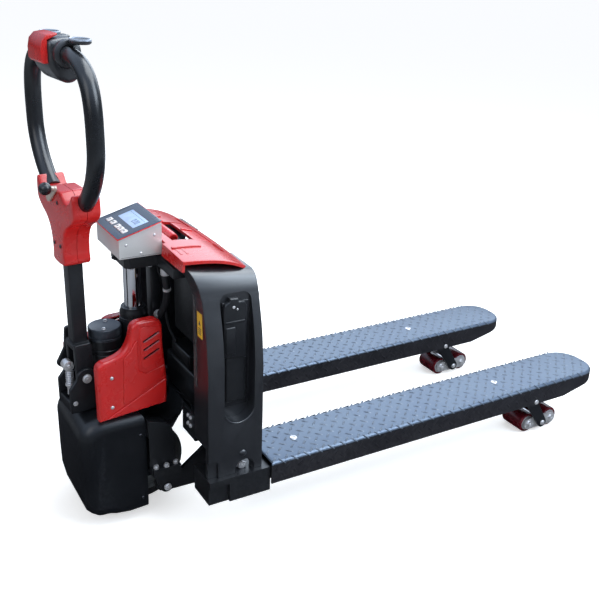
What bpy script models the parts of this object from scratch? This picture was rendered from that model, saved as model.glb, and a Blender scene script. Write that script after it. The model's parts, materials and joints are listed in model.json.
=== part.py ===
"""Semi-electric pallet truck with a built-in scale, forks raised and the tiller turned a little.

Frame: +Z up, +Y towards the fork tips, -Y the operator's side.  All lengths are in metres.  The
functions below use truck coordinates, whose Y starts at the fork heel; the "truck" empty carries
them to the part's own origin, and the "drive" empty turns everything that steers.
"""
import bpy
import bmesh
from math import atan2, cos, pi, radians, sin, tau
from mathutils import Matrix, Vector

# ---- driving dimensions -------------------------------------------------------------------------
HEEL_Y = -0.3548          # fork heel in the part's frame, so that the origin is mid-length
GAP = 0.0003              # clearance left between touching pieces
SIDES = (("right", 1), ("left", -1))

FORK_LENGTH = 1.15
FORK_WIDTH = 0.158
FORK_X = 0.211            # centre of each fork
FORK_TOP = 0.18           # deck height in the raised rest position
SKIRT = 0.060             # depth of the deck's side skirts
DECK_WALL = 0.004
CELL_Y = (0.109, 0.789)   # screw of each load cell

STEER_Y = -0.23           # lift piston and steering axis
STEER_DEG = 5.0           # how far the tiller is turned at rest
WHEEL_R = 0.105

EAR_PIN = (-0.2125, 0.0945)      # (Y, Z) of the pins that carry the rocker's front ends
ROCKER_PIN = (-0.060, 0.175)     # (Y, Z) of the rocker's cross shaft in the chassis
CRANK = 0.048                    # rocker crank that pushes the rods
ARM_PIN = (0.893, 0.122)         # (Y, Z) roller arm pivot in the fork
BOGIE_PIN = (0.955, 0.030)       # (Y, Z) pivot between roller arm and bogie
AXLE_PITCH = 0.088               # between the two axles of a bogie
ROLLER_R = 0.030
ROD_X = 0.168                    # centre of each push rod

TILLER_Y = -0.373
TILLER_PIN_Z = 0.388
LOOP_X = 0.177                   # half-width of the handle loop's centre line
LOOP_Z = 0.962                   # height at which the loop is widest
LOOP_RISE = 0.168                # from there to the top bar
LOOP_TUBE_R = 0.0185
BODY_X = 0.27                    # outside of the body towers
TOWER_IN = 0.19                  # inner wall of the towers
BODY_FRONT = -0.155
BODY_BACK = -0.014
FACE_TILT = atan2(0.030, 0.103)  # slope of the indicator's top
FACE_FRONT = (-0.285, 0.7275)    # (Y, Z) of the face's front edge, under the plate

# ---- scene housekeeping -------------------------------------------------------------------------
for old in list(bpy.data.objects):
    bpy.data.objects.remove(old, do_unlink=True)

PARTS = bpy.data.collections.new("pallet_scale")
CUTTERS = bpy.data.collections.new("cutters")
for group in (PARTS, CUTTERS):
    bpy.context.scene.collection.children.link(group)


def finish(name, colour, roughness, metallic=0.0):
    mat = bpy.data.materials.new(name)
    mat.use_nodes = True
    shader = mat.node_tree.nodes["Principled BSDF"]
    shader.inputs["Base Color"].default_value = (*colour, 1.0)
    shader.inputs["Roughness"].default_value = roughness
    shader.inputs["Metallic"].default_value = metallic
    return mat


BLACK = finish("black_paint", (0.012, 0.012, 0.015), 0.38)
BODY_PLASTIC = finish("body_plastic", (0.016, 0.018, 0.024), 0.42)
RED = finish("red_plastic", (0.62, 0.012, 0.012), 0.32)
DECK = finish("deck_paint", (0.045, 0.055, 0.075), 0.35, 0.3)
CHROME = finish("chrome", (0.8, 0.8, 0.82), 0.08, 1.0)
STEEL = finish("zinc_steel", (0.55, 0.55, 0.56), 0.35, 1.0)
STAINLESS = finish("stainless", (0.62, 0.61, 0.60), 0.28, 1.0)
ROLLER_RED = finish("roller_polyurethane", (0.16, 0.008, 0.012), 0.3)
TYRE_GREY = finish("tyre_rubber", (0.05, 0.052, 0.055), 0.6)
HUB_GREY = finish("hub_casting", (0.28, 0.30, 0.31), 0.5, 0.6)
FACE_BLUE = finish("face_film", (0.02, 0.03, 0.055), 0.25)
LCD = finish("lcd_window", (0.42, 0.55, 0.85), 0.1)
KEY_WHITE = finish("key_white", (0.8, 0.8, 0.8), 0.4)
HOSE = finish("hose_rubber", (0.015, 0.015, 0.016), 0.6)


# ---- bodies: each is an empty on its joint's axis, with its place in truck coordinates ----------
class Body:
    def __init__(self, name, pivot=(0.0, 0.0, 0.0), parent=None, turn=0.0):
        self.pivot = Vector(pivot)
        self.empty = bpy.data.objects.new(name, None)
        PARTS.objects.link(self.empty)
        if parent:
            self.empty.parent = parent.empty
            self.empty.location = self.pivot - parent.pivot
        else:
            self.empty.location = self.pivot
        self.empty.rotation_euler.z = turn

    def hold(self, obj):
        obj.parent = self.empty
        obj.location = -self.pivot


def on_x_axis(pin, x=0.0):
    return (x, pin[0], pin[1])


truck = Body("truck")
truck.empty.location.y = HEEL_Y
drive = Body("drive", (0, STEER_Y, 0), truck, radians(STEER_DEG))
wheel = Body("wheel", (0, STEER_Y, WHEEL_R), drive)
tiller = Body("tiller", (0, TILLER_Y, TILLER_PIN_Z), drive)
chassis = Body("chassis", (0, STEER_Y, 0.645), truck)
rocker = Body("rocker_shaft", on_x_axis(ROCKER_PIN), chassis)
rods = Body("rods", (0, ROCKER_PIN[0], ROCKER_PIN[1] - CRANK), chassis)


# ---- builders: every mesh is made in truck coordinates ------------------------------------------
def add(name, mesh, body, mat, cutter=False):
    obj = bpy.data.objects.new(name, mesh)
    (CUTTERS if cutter else PARTS).objects.link(obj)
    if mat:
        mesh.materials.clear()
        mesh.materials.append(mat)
    if cutter:
        obj.hide_render = True
        obj.display_type = "WIRE"
    body.hold(obj)
    return obj


def from_bmesh(name, bm):
    mesh = bpy.data.meshes.new(name)
    bm.to_mesh(mesh)
    bm.free()
    return mesh


def box_mesh(name, low, high):
    low, high = Vector(low), Vector(high)
    bm = bmesh.new()
    size = Matrix.Diagonal((*(high - low), 1.0))
    bmesh.ops.create_cube(bm, size=1.0, matrix=Matrix.Translation((low + high) / 2) @ size)
    return from_bmesh(name, bm)


def rod_mesh(name, start, end, radius, end_radius=None, sides=16):
    start, end = Vector(start), Vector(end)
    along = end - start
    bm = bmesh.new()
    place = Matrix.Translation((start + end) / 2) @ along.to_track_quat("Z", "Y").to_matrix().to_4x4()
    bmesh.ops.create_cone(bm, cap_ends=True, segments=sides, radius1=radius,
                          radius2=radius if end_radius is None else end_radius,
                          depth=along.length, matrix=place)
    mesh = from_bmesh(name, bm)
    mesh.shade_smooth()
    mesh.set_sharp_from_angle(angle=radians(40))
    return mesh


# axis letter -> matrix that lays an outline (u, v) and its thickness w in the truck's frame
LAY = {
    "x": Matrix(((0, 0, 1, 0), (1, 0, 0, 0), (0, 1, 0, 0), (0, 0, 0, 1))),    # u = Y, v = Z
    "y": Matrix(((1, 0, 0, 0), (0, 0, -1, 0), (0, 1, 0, 0), (0, 0, 0, 1))),   # u = X, v = Z
    "z": Matrix.Identity(4),                                                   # u = X, v = Y
}


def slab_mesh(name, axis, outlines, low, high):
    """A flat outline (with holes, where more than one is given) made thick from low to high."""
    curve = bpy.data.curves.new(name, "CURVE")
    curve.dimensions = "2D"
    curve.fill_mode = "BOTH"
    curve.extrude = (high - low) / 2
    for outline in outlines:
        spline = curve.splines.new("POLY")
        spline.points.add(len(outline) - 1)
        for point, (u, v) in zip(spline.points, outline):
            point.co = (u, v, 0, 1)
        spline.use_cyclic_u = True
    maker = bpy.data.objects.new(name, curve)
    bpy.context.scene.collection.objects.link(maker)
    bpy.context.view_layer.update()
    mesh = bpy.data.meshes.new_from_object(maker.evaluated_get(bpy.context.evaluated_depsgraph_get()))
    bpy.data.objects.remove(maker)
    middle = (low + high) / 2
    bm = bmesh.new()
    bm.from_mesh(mesh)
    bmesh.ops.remove_doubles(bm, verts=bm.verts, dist=1e-6)
    bmesh.ops.dissolve_limit(bm, angle_limit=radians(0.5), verts=bm.verts, edges=bm.edges)
    lift = Matrix.Translation((0, 0, -middle if axis == "y" else middle))
    bmesh.ops.transform(bm, matrix=LAY[axis] @ lift, verts=bm.verts)
    bmesh.ops.recalc_face_normals(bm, faces=bm.faces)
    bm.to_mesh(mesh)
    bm.free()
    return mesh


def turned_mesh(name, profile, centre, axis="z", steps=24):
    """Spins a closed (radius, height) profile round an axis through centre."""
    bm = bmesh.new()
    points = [bm.verts.new((r, 0, h)) for r, h in profile]
    edges = [bm.edges.new((a, b)) for a, b in zip(points, points[1:] + points[:1])]
    bmesh.ops.spin(bm, geom=points + edges, axis=(0, 0, 1), cent=(0, 0, 0), angle=tau,
                   steps=steps, use_merge=True)
    bmesh.ops.remove_doubles(bm, verts=bm.verts, dist=1e-6)
    loose = [e for e in bm.edges if not e.link_faces]
    bmesh.ops.delete(bm, geom=loose, context="EDGES")
    bmesh.ops.recalc_face_normals(bm, faces=bm.faces)
    turn = Matrix.Rotation(pi / 2, 4, "Y") if axis == "x" else Matrix.Identity(4)
    bmesh.ops.transform(bm, matrix=Matrix.Translation(centre) @ turn, verts=bm.verts)
    mesh = from_bmesh(name, bm)
    mesh.shade_smooth()
    mesh.set_sharp_from_angle(angle=radians(40))
    return mesh


def rounded(obj, width, segments=2, angle=40):
    bevel = obj.modifiers.new("rounding", "BEVEL")
    bevel.width = width
    bevel.segments = segments
    bevel.limit_method = "ANGLE"
    bevel.angle_limit = radians(angle)
    return obj


def boolean(obj, tool_mesh, body, operation):
    tool = add(f"{obj.name}_tool", tool_mesh, body, None, cutter=True)
    change = obj.modifiers.new(operation.lower(), "BOOLEAN")
    change.operation = operation
    change.object = tool
    return obj


def cut(obj, tool_mesh, body):
    return boolean(obj, tool_mesh, body, "DIFFERENCE")


def join(obj, tool_mesh, body):
    return boolean(obj, tool_mesh, body, "UNION")


def tube(name, points, radius, body, mat, resolution=2):
    curve = bpy.data.curves.new(name, "CURVE")
    curve.dimensions = "3D"
    curve.bevel_depth = radius
    curve.bevel_resolution = resolution
    curve.use_fill_caps = True
    spline = curve.splines.new("POLY")
    spline.points.add(len(points) - 1)
    for point, place in zip(spline.points, points):
        point.co = (*place, 1)
    curve.materials.append(mat)
    obj = bpy.data.objects.new(name, curve)
    PARTS.objects.link(obj)
    body.hold(obj)
    return obj


def smooth_route(route, spacing):
    """Points every spacing along a Catmull-Rom curve through the route's own points."""
    places = [Vector(p) for p in route]
    places = [2 * places[0] - places[1]] + places + [2 * places[-1] - places[-2]]
    out = []
    for a, b, c, d in zip(places, places[1:], places[2:], places[3:]):
        count = max(1, round((c - b).length / spacing))
        for k in range(count):
            t = k / count
            out.append(0.5 * (2 * b + (c - a) * t + (2 * a - 5 * b + 4 * c - d) * t * t
                              + (3 * b - a - 3 * c + d) * t ** 3))
    return out + [places[-2]]


def arc(centre, radius, start_deg, end_deg, steps):
    span = end_deg - start_deg
    angles = [radians(start_deg + span * k / steps) for k in range(steps + 1)]
    return [(centre[0] + radius * cos(a), centre[1] + radius * sin(a)) for a in angles]


def circle(centre, radius, sides=16):
    return arc(centre, radius, 0, 360 - 360 / sides, sides - 1)


def link_outline(a, b, radius_a, radius_b, steps=6):
    """Two round ends joined by straight sides."""
    heading = atan2(b[1] - a[1], b[0] - a[0]) * 180 / pi
    return (arc(a, radius_a, heading + 90, heading + 270, steps)
            + arc(b, radius_b, heading - 90, heading + 90, steps))


# ---- steering yoke and its guard, which stand still while the drive unit turns inside -----------
def build_yoke():
    ring = slab_mesh("steer_yoke", "z", [circle((0, STEER_Y), 0.1130, 28)], 0.2430, 0.2570)
    yoke = add("steer_yoke", ring, truck, BLACK)
    join(yoke, box_mesh("bridge", (-0.1290, -0.2440, 0.2440), (0.1290, -0.1900, 0.2560)), truck)
    for _, side in SIDES:
        inner, outer = sorted((0.118 * side, 0.130 * side))
        leg = [(-0.245, 0.130), (-0.182, 0.130), (-0.182, 0.215)]
        leg += arc((-0.222, 0.217), 0.040, 0, 90, 5) + [(-0.245, 0.257)]
        join(yoke, slab_mesh("leg", "x", [leg], inner, outer), truck)
        inner, outer = sorted((0.117 * side, 0.146 * side))
        foot = box_mesh("foot", (inner, -0.246, 0.1262), (outer, -0.174, 0.1475))
        join(yoke, foot, truck)
        inner, outer = sorted((0.1300 * side, 0.1455 * side))
        ear = [(-0.174, 0.135), (-0.242, 0.135), (-0.242, 0.122)]
        ear += arc(EAR_PIN, 0.0175, 190, 350, 8) + [(-0.180, 0.108), (-0.174, 0.122)]
        join(yoke, slab_mesh("ear", "x", [ear], inner, outer), truck)
        start, end = sorted((0.1165 * side, 0.1500 * side))
        join(yoke, rod_mesh("pin", (start, *EAR_PIN), (end, *EAR_PIN), 0.0085), truck)
    cut(yoke, rod_mesh("neck_room", (0, STEER_Y, 0.2), (0, STEER_Y, 0.3), 0.0418, sides=24), truck)


def build_wheel_cover():
    side = [(-0.2520, 0.0150), (-0.2520, 0.2700)] + arc((-0.290, 0.262), 0.038, 20, 90, 4)
    side += arc((-0.352, 0.240), 0.060, 90, 172, 6)
    side += [(-0.4110, 0.1000), (-0.4020, 0.0480), (-0.3780, 0.0290), (-0.3400, 0.0140), (-0.3000, 0.0090)]
    cover = add("wheel_cover", slab_mesh("wheel_cover", "x", [side], -0.1185, 0.1185), truck, BODY_PLASTIC)
    rounded(cover, 0.024, 3, 60)
    hollow = [(-0.2000, -0.010), (-0.2000, 0.2900)] + arc((-0.356, 0.238), 0.052, 90, 172, 5)
    hollow += [(-0.4040, 0.1000), (-0.3960, 0.0500), (-0.3780, 0.0290), (-0.3780, -0.010)]
    tool = slab_mesh("hollow", "x", [hollow], -0.1145, 0.1145)
    cut(cover, tool, truck)
    notch = rod_mesh("neck_room", (0, STEER_Y, 0.25), (0, STEER_Y, 0.35), 0.060, sides=24)
    cut(cover, notch, truck)


# ---- drive unit: fork, pump, motor, covers and tiller base, all turning about the piston --------
def build_drive():
    leg = [(-0.262, 0.088), (-0.198, 0.088), (-0.198, 0.185)] + arc((-0.228, 0.196), 0.030, 0, 180, 8)
    fork = add("drive_fork", slab_mesh("drive_fork", "x", [leg], 0.0620, 0.0740), drive, BLACK)
    join(fork, slab_mesh("far_leg", "x", [leg], -0.0740, -0.0620), drive)
    join(fork, box_mesh("crown", (-0.0735, -0.2570, 0.2115), (0.0735, -0.1990, 0.2255)), drive)
    join(fork, rod_mesh("axle", (-0.0780, STEER_Y, WHEEL_R), (0.0780, STEER_Y, WHEEL_R), 0.0125), drive)
    join(fork, rod_mesh("neck", (0, STEER_Y, 0.2200), (0, STEER_Y, 0.2827), 0.0405, sides=24), drive)

    deck = [(-0.070, -0.345), (0.070, -0.345), (0.085, -0.300), (0.085, -0.190), (0.050, -0.165),
            (-0.050, -0.165), (-0.085, -0.190), (-0.085, -0.300)]
    pump = add("pump_body", slab_mesh("pump_body", "z", [deck], 0.3040, 0.3400), drive, BLACK)
    join(pump, rod_mesh("root", (0, STEER_Y, 0.2832), (0, STEER_Y, 0.3100), 0.046, sides=24), drive)
    join(pump, rod_mesh("cylinder", (0, STEER_Y, 0.3300), (0, STEER_Y, 0.5000), 0.0350, sides=24), drive)
    cut(pump, rod_mesh("bore", (0, STEER_Y, 0.3380), (0, STEER_Y, 0.5200), 0.0222, sides=24), drive)

    ring = [(0.0222, 0.5003), (0.0340, 0.5003), (0.0340, 0.5200), (0.0310, 0.5310), (0.0222, 0.5310)]
    add("cylinder_collar", turned_mesh("cylinder_collar", ring, (0, STEER_Y, 0)), drive, BLACK)

    motor_y = -0.3062
    add("pump_motor", rod_mesh("pump_motor", (0, motor_y, 0.3403), (0, motor_y, 0.4660), 0.0390, sides=24),
        drive, BLACK)
    cap = [(0, 0.4663), (0.0395, 0.4663), (0.0395, 0.4720), (0.0380, 0.4740), (0.0395, 0.4760),
           (0.0395, 0.4930), (0.0370, 0.4960), (0, 0.4960)]
    add("motor_cap", turned_mesh("motor_cap", cap, (0, motor_y, 0)), drive, BLACK)

    for label, side in SIDES:
        outline = [(-0.378, 0.3060), (-0.205, 0.3120), (-0.202, 0.3850), (-0.209, 0.4300), (-0.211, 0.5150)]
        outline += arc((-0.2330, 0.5180), 0.0220, 0, 90, 4) + [(-0.2700, 0.5400)]
        outline += arc((-0.2700, 0.5200), 0.0200, 90, 160, 3)
        outline += [(-0.2960, 0.5000), (-0.3080, 0.4760), (-0.3300, 0.4640), (-0.3550, 0.4570)]
        outline += arc((-0.3580, 0.4370), 0.0200, 90, 175, 3)
        inner, outer = sorted((0.0905 * side, 0.1215 * side))
        name = f"pump_cover_{label}"
        shell = add(name, slab_mesh(name, "x", [outline], inner, outer), drive, RED)
        rounded(shell, 0.009, 2, 60)
        pocket = [(-0.3735, 0.3000), (-0.2090, 0.3000), (-0.2060, 0.3850), (-0.2130, 0.4300), (-0.2150, 0.5150),
                  (-0.2330, 0.5350), (-0.2680, 0.5350), (-0.2830, 0.5220), (-0.2920, 0.4980), (-0.3050, 0.4720),
                  (-0.3280, 0.4590), (-0.3560, 0.4510), (-0.3735, 0.4360)]
        inner, outer = sorted((0.0800 * side, 0.1180 * side))
        cut(shell, slab_mesh("pocket", "x", [pocket], inner, outer), drive)


def build_tiller_base():
    cheek = [(-0.4160, 0.3040), (-0.3460, 0.3040), (-0.3460, 0.3880)]
    cheek += arc((TILLER_Y, TILLER_PIN_Z), 0.0245, 0, 180, 8) + [(-0.4160, 0.3700)]
    base = add("tiller_base", slab_mesh("tiller_base", "x", [cheek], 0.0315, 0.0415), drive, BLACK)
    join(base, slab_mesh("far_cheek", "x", [cheek], -0.0415, -0.0315), drive)
    join(base, box_mesh("floor", (-0.0330, -0.4150, 0.3045), (0.0330, -0.3465, 0.3300)), drive)
    cut(base, rod_mesh("hole", (-0.05, TILLER_Y, TILLER_PIN_Z), (0.05, TILLER_Y, TILLER_PIN_Z), 0.0089), drive)
    cut(base, rod_mesh("bore", (0, -0.4000, 0.3120), (0, -0.4000, 0.3500), 0.0085), drive)

    add("tiller_pivot_pin", rod_mesh("tiller_pivot_pin", (-0.0470, TILLER_Y, TILLER_PIN_Z),
        (0.0470, TILLER_Y, TILLER_PIN_Z), 0.0086), drive, STEEL)
    plunger = Body("plunger", (0, -0.4000, 0.3600), drive)
    piece = add("pump_plunger", rod_mesh("pump_plunger", (0, -0.4000, 0.3370), (0, -0.4000, 0.4150), 0.0075),
                plunger, STEEL)
    join(piece, rod_mesh("roller", (-0.0110, -0.4040, 0.4150), (0.0110, -0.4040, 0.4150), 0.0130), plunger)

    pedal = Body("pedal", (-0.0480, -0.3700, 0.3880), drive)
    lever = slab_mesh("lowering_pedal", "x", [link_outline((-0.3700, 0.3880), (-0.4120, 0.4020), 0.0140, 0.0110)],
                      -0.0620, -0.0540)
    piece = add("lowering_pedal", lever, pedal, BLACK)
    upper = slab_mesh("upper", "x", [link_outline((-0.4120, 0.4020), (-0.4180, 0.4700), 0.0110, 0.0085)],
                      -0.0620, -0.0540)
    join(piece, upper, pedal)
    join(piece, box_mesh("foot", (-0.0850, -0.4300, 0.4640), (-0.0560, -0.4060, 0.4740)), pedal)


def build_wheel():
    tread = [(0.0800, -0.0400), (0.1010, -0.0400), (0.1050, -0.0340), (0.1050, 0.0340), (0.1010, 0.0400),
             (0.0800, 0.0400)]
    centre = (0, STEER_Y, WHEEL_R)
    add("drive_tyre", turned_mesh("drive_tyre", tread, centre, "x", 32), wheel, TYRE_GREY)
    hub = [(0.0128, -0.0580), (0.0500, -0.0580), (0.0620, -0.0480), (0.0797, -0.0430), (0.0797, 0.0430),
           (0.0620, 0.0480), (0.0500, 0.0580), (0.0128, 0.0580)]
    add("drive_hub", turned_mesh("drive_hub", hub, centre, "x", 32), wheel, HUB_GREY)


# ---- tiller: tube, red head bracket, handle loop and controls -----------------------------------
def loop_points(count):
    """Half turns of two superellipses: a squarer one above the widest point, a rounder one below."""
    points = []
    for k in range(count + 1):
        angle = radians(-58 + 296 * k / count)
        power = 3.6 if sin(angle) > 0 else 2.3
        c, s = cos(angle), sin(angle)
        x = LOOP_X * abs(c) ** (2 / power) * (1 if c > 0 else -1)
        z = LOOP_Z + LOOP_RISE * abs(s) ** (2 / power) * (1 if s > 0 else -1)
        points.append((x, TILLER_Y, z))
    return points


def loop_mesh(name, radius):
    """The bent tube as a closed mesh, also used a little fatter to cut its sockets."""
    source = tube(name + "_source", loop_points(30), radius, truck, HOSE, 2)
    source.location = (0, 0, 0)
    bpy.context.view_layer.update()
    mesh = bpy.data.meshes.new_from_object(source.evaluated_get(bpy.context.evaluated_depsgraph_get()))
    bpy.data.objects.remove(source)
    bm = bmesh.new()
    bm.from_mesh(mesh)
    bmesh.ops.remove_doubles(bm, verts=bm.verts, dist=1e-6)
    bm.to_mesh(mesh)
    bm.free()
    return mesh


def build_tiller():
    column = add("tiller_tube", box_mesh("tiller_tube", (-0.0175, TILLER_Y - 0.0175, 0.4600),
                 (0.0175, TILLER_Y + 0.0175, 0.6900)), tiller, BLACK)
    for _, side in SIDES:
        inner, outer = sorted((0.0170 * side, 0.0300 * side))
        plate = [(TILLER_Y - 0.0200, 0.4000), (TILLER_Y - 0.0210, 0.4700), (TILLER_Y + 0.0210, 0.4700),
                 (TILLER_Y + 0.0220, TILLER_PIN_Z)]
        plate += arc((TILLER_Y, TILLER_PIN_Z), 0.0220, 0, -150, 6)
        join(column, slab_mesh("clevis", "x", [plate], inner, outer), tiller)
    cut(column, rod_mesh("hole", (-0.05, TILLER_Y, TILLER_PIN_Z), (0.05, TILLER_Y, TILLER_PIN_Z), 0.0089),
        tiller)

    shield = [(-0.0310, 0.6720), (0.0310, 0.6720), (0.0370, 0.7350), (0.0640, 0.7700), (0.1160, 0.8000),
              (0.1080, 0.8330), (0.0700, 0.8220), (0.0350, 0.8420), (-0.0350, 0.8420), (-0.0700, 0.8220),
              (-0.1080, 0.8330), (-0.1160, 0.8000), (-0.0640, 0.7700), (-0.0370, 0.7350)]
    bracket = add("head_bracket", slab_mesh("head_bracket", "y", [shield], TILLER_Y - 0.0310,
                  TILLER_Y + 0.0310), tiller, RED)
    rounded(bracket, 0.009, 2, 35)
    cut(bracket, box_mesh("bore", (-0.0178, TILLER_Y - 0.0178, 0.6600), (0.0178, TILLER_Y + 0.0178, 0.6903)),
        tiller)

    add("loop_handle", loop_mesh("loop_handle", LOOP_TUBE_R), tiller, HOSE)
    cut(bracket, loop_mesh("socket", LOOP_TUBE_R + GAP), tiller)

    top = LOOP_Z + LOOP_RISE
    housing = [(-0.4080, top - 0.0200), (-0.4080, top + 0.0220), (-0.3900, top + 0.0330), (-0.3560, top + 0.0330),
               (-0.3400, top + 0.0120), (-0.3400, top - 0.0400), (-0.3620, top - 0.0600), (-0.3850, top - 0.0500)]
    head = add("control_head", slab_mesh("control_head", "x", [housing], -0.0500, 0.0500), tiller, BODY_PLASTIC)
    rounded(head, 0.006, 2, 30)
    cut(head, loop_mesh("grip", LOOP_TUBE_R + 2 * GAP), tiller)

    belly = Body("belly", (0, -0.4083, top), tiller)
    button = add("reversing_button", box_mesh("reversing_button", (-0.0420, -0.4320, top - 0.0190),
                 (0.0420, -0.4070, top + 0.0200)), belly, RED)
    rounded(button, 0.006, 2, 60)
    cut(head, box_mesh("button_room", (-0.0424, -0.4200, top - 0.0194), (0.0424, -0.4015, top + 0.0204)), tiller)
    horn = Body("horn", (0.0200, -0.3420, top - 0.0260), tiller)
    add("horn_button", rod_mesh("horn_button", (0.0200, -0.3425, top - 0.0260), (0.0200, -0.3350, top - 0.0260),
        0.0065), horn, BLACK)
    cut(head, rod_mesh("horn_room", (0.0200, -0.3465, top - 0.0260), (0.0200, -0.3200, top - 0.0260), 0.0068),
        tiller)

    throttle = Body("throttle", (0, -0.3650, top + 0.0240), tiller)
    for label, side in SIDES:
        name = f"throttle_{label}"
        outline = [(0.0745 * side + 0.0230 * cos(tau * k / 20), -0.3560 + 0.0165 * sin(tau * k / 20))
                   for k in range(20)]
        paddle = add(name, slab_mesh(name, "z", [outline], top + 0.0220, top + 0.0300), throttle, BODY_PLASTIC)
        rounded(paddle, 0.002, 2, 60)

    lever = Body("lever", (-0.0250, -0.4045, 0.8250), tiller)
    arm = slab_mesh("lowering_lever", "y", [link_outline((-0.0250, 0.8200), (0.0200, 0.8480), 0.0120, 0.0060)],
                    -0.4100, -0.4045)
    piece = add("lowering_lever", arm, lever, BLACK)
    join(piece, rod_mesh("stem", (0.0200, -0.4070, 0.8480), (0.0200, -0.4200, 0.8500), 0.0050, sides=12), lever)
    ball = bmesh.new()
    bmesh.ops.create_uvsphere(ball, u_segments=12, v_segments=8, radius=0.0140,
                              matrix=Matrix.Translation((0.0200, -0.4290, 0.8500)))
    join(piece, from_bmesh("ball", ball), lever)


# ---- chassis: body shell, frame, lid, battery, lift bracket and piston --------------------------
def body_outline(outer_x, inner_x, top_z):
    """One tower seen from the front: its outside leans in above the waist and curves over to the lid."""
    outside = [(inner_x, 0.1670), (outer_x, 0.1670), (outer_x, 0.4600), (outer_x - 0.007, 0.5600),
               (outer_x - 0.022, 0.6250), (outer_x - 0.045, 0.6630), (outer_x - 0.075, top_z - 0.006),
               (0.1000, top_z)]
    inside = [(0.1000, top_z - 0.018), (inner_x - 0.035, top_z - 0.026),
              (inner_x - 0.008, top_z - 0.055), (inner_x, top_z - 0.090)]
    return outside + inside


def build_body_shell():
    top = 0.6840
    for label, side in SIDES:
        outline = [(x * side, z) for x, z in body_outline(BODY_X, TOWER_IN, top)]
        name = f"body_shell_{label}"
        shell = add(name, slab_mesh(name, "y", [outline], BODY_FRONT, BODY_BACK), chassis, BODY_PLASTIC)
        rounded(shell, 0.005, 2, 50)
        low, high = sorted((0.1980 * side, 0.2300 * side))
        cavity = box_mesh("cavity", (low, BODY_FRONT + 0.008, 0.1500), (high, BODY_BACK - 0.008, 0.6000))
        cut(shell, cavity, chassis)
        pocket = [(-0.1140, 0.3380)] + arc((-0.0750, 0.3420), 0.0390, 190, 350, 6)
        pocket += [(-0.0350, 0.6050), (-0.0480, 0.6250), (-0.1000, 0.6250), (-0.1140, 0.6050)]
        low, high = sorted((0.2380 * side, 0.3000 * side))
        cut(shell, slab_mesh("pocket", "x", [pocket], low, high), chassis)
        low, high = sorted((0.2500 * side, 0.3000 * side))
        cut(shell, rod_mesh("dimple", (low, *ROCKER_PIN), (high, *ROCKER_PIN), 0.0200), chassis)
        low, high = sorted((0.1800 * side, 0.2600 * side))
        cut(shell, rod_mesh("shaft_bore", (low, *ROCKER_PIN), (high, *ROCKER_PIN), 0.0123), chassis)


def build_frame():
    section = [(-0.1545, 0.2300), (-0.0145, 0.2300), (-0.0145, 0.6400), (-0.0205, 0.6400), (-0.0205, 0.2400),
               (-0.1485, 0.2400), (-0.1485, 0.3000), (-0.1545, 0.3000)]
    frame = add("cross_frame", slab_mesh("cross_frame", "x", [section], -0.1895, 0.1895), chassis, BLACK)
    cut(frame, rod_mesh("yoke_room", (0, STEER_Y, 0.2), (0, STEER_Y, 0.4), 0.1360, sides=32), chassis)
    for _, side in SIDES:
        low, high = sorted((0.1500 * side, 0.2000 * side))
        cut(frame, box_mesh("corner", (low, -0.0400, 0.5850), (high, 0.0, 0.7000)), chassis)
    profile = [(-0.1900, 0.6880), (-0.0120, 0.6880), (-0.0060, 0.6920), (-0.0060, 0.6980), (-0.0200, 0.7020),
               (-0.1000, 0.7120), (-0.1800, 0.7200), (-0.1900, 0.7160)]
    cover = add("top_cover", slab_mesh("top_cover", "x", [profile], -0.2080, 0.2080), chassis, RED)
    rounded(cover, 0.003, 1, 60)
    cut(cover, box_mesh("battery_hatch", (-0.0740, -0.1555, 0.6700), (0.0740, -0.0270, 0.7400)), chassis)
    cut(cover, box_mesh("indicator_room", (-0.0860, -0.2000, 0.6700), (0.0860, -0.1770, 0.7400)), chassis)


def build_battery():
    battery = Body("battery", (0, -0.1000, 0.6700), chassis)
    pack = add("battery_pack", box_mesh("battery_pack", (-0.0700, -0.0970, 0.4200), (0.0700, -0.0300, 0.6950)),
               battery, BLACK)
    rounded(pack, 0.004, 1, 60)
    join(pack, box_mesh("top", (-0.0700, -0.1520, 0.6850), (0.0700, -0.0310, 0.6940)), battery)
    for x in (-0.0500, 0.0500):
        join(pack, box_mesh("post", (x - 0.0060, -0.1480, 0.6900), (x + 0.0060, -0.1280, 0.7150)), battery)
    join(pack, rod_mesh("grip", (-0.0620, -0.1380, 0.7180), (0.0620, -0.1380, 0.7180), 0.0120), battery)


def build_lift():
    beam = add("lift_bracket", box_mesh("lift_bracket", (-0.1520, -0.1850, 0.6420), (0.1520, -0.1565, 0.6680)),
               chassis, BLACK)
    join(beam, box_mesh("cantilever", (-0.0560, -0.2640, 0.6453), (0.0560, -0.1700, 0.6800)), chassis)
    join(beam, rod_mesh("boss", (0, STEER_Y, 0.6400), (0, STEER_Y, 0.6500), 0.0300), chassis)
    join(beam, rod_mesh("gland", (-0.0020, -0.2600, 0.6580), (-0.0020, -0.2760, 0.6580), 0.0070, sides=12),
         chassis)
    join(beam, box_mesh("guard_post", (-0.0140, -0.1900, 0.4950), (0.0180, -0.1680, 0.6500)), chassis)
    add("piston", rod_mesh("piston", (0, STEER_Y, 0.4400), (0, STEER_Y, 0.6397), 0.0215, sides=24), chassis,
        CHROME)


def on_face(x, along, height):
    """A point on the indicator's sloping face: x, distance up the slope and height above it."""
    y = FACE_FRONT[0] + along * cos(FACE_TILT) - height * sin(FACE_TILT)
    z = FACE_FRONT[1] + along * sin(FACE_TILT) + height * cos(FACE_TILT)
    return Vector((x, y, z))


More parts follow.
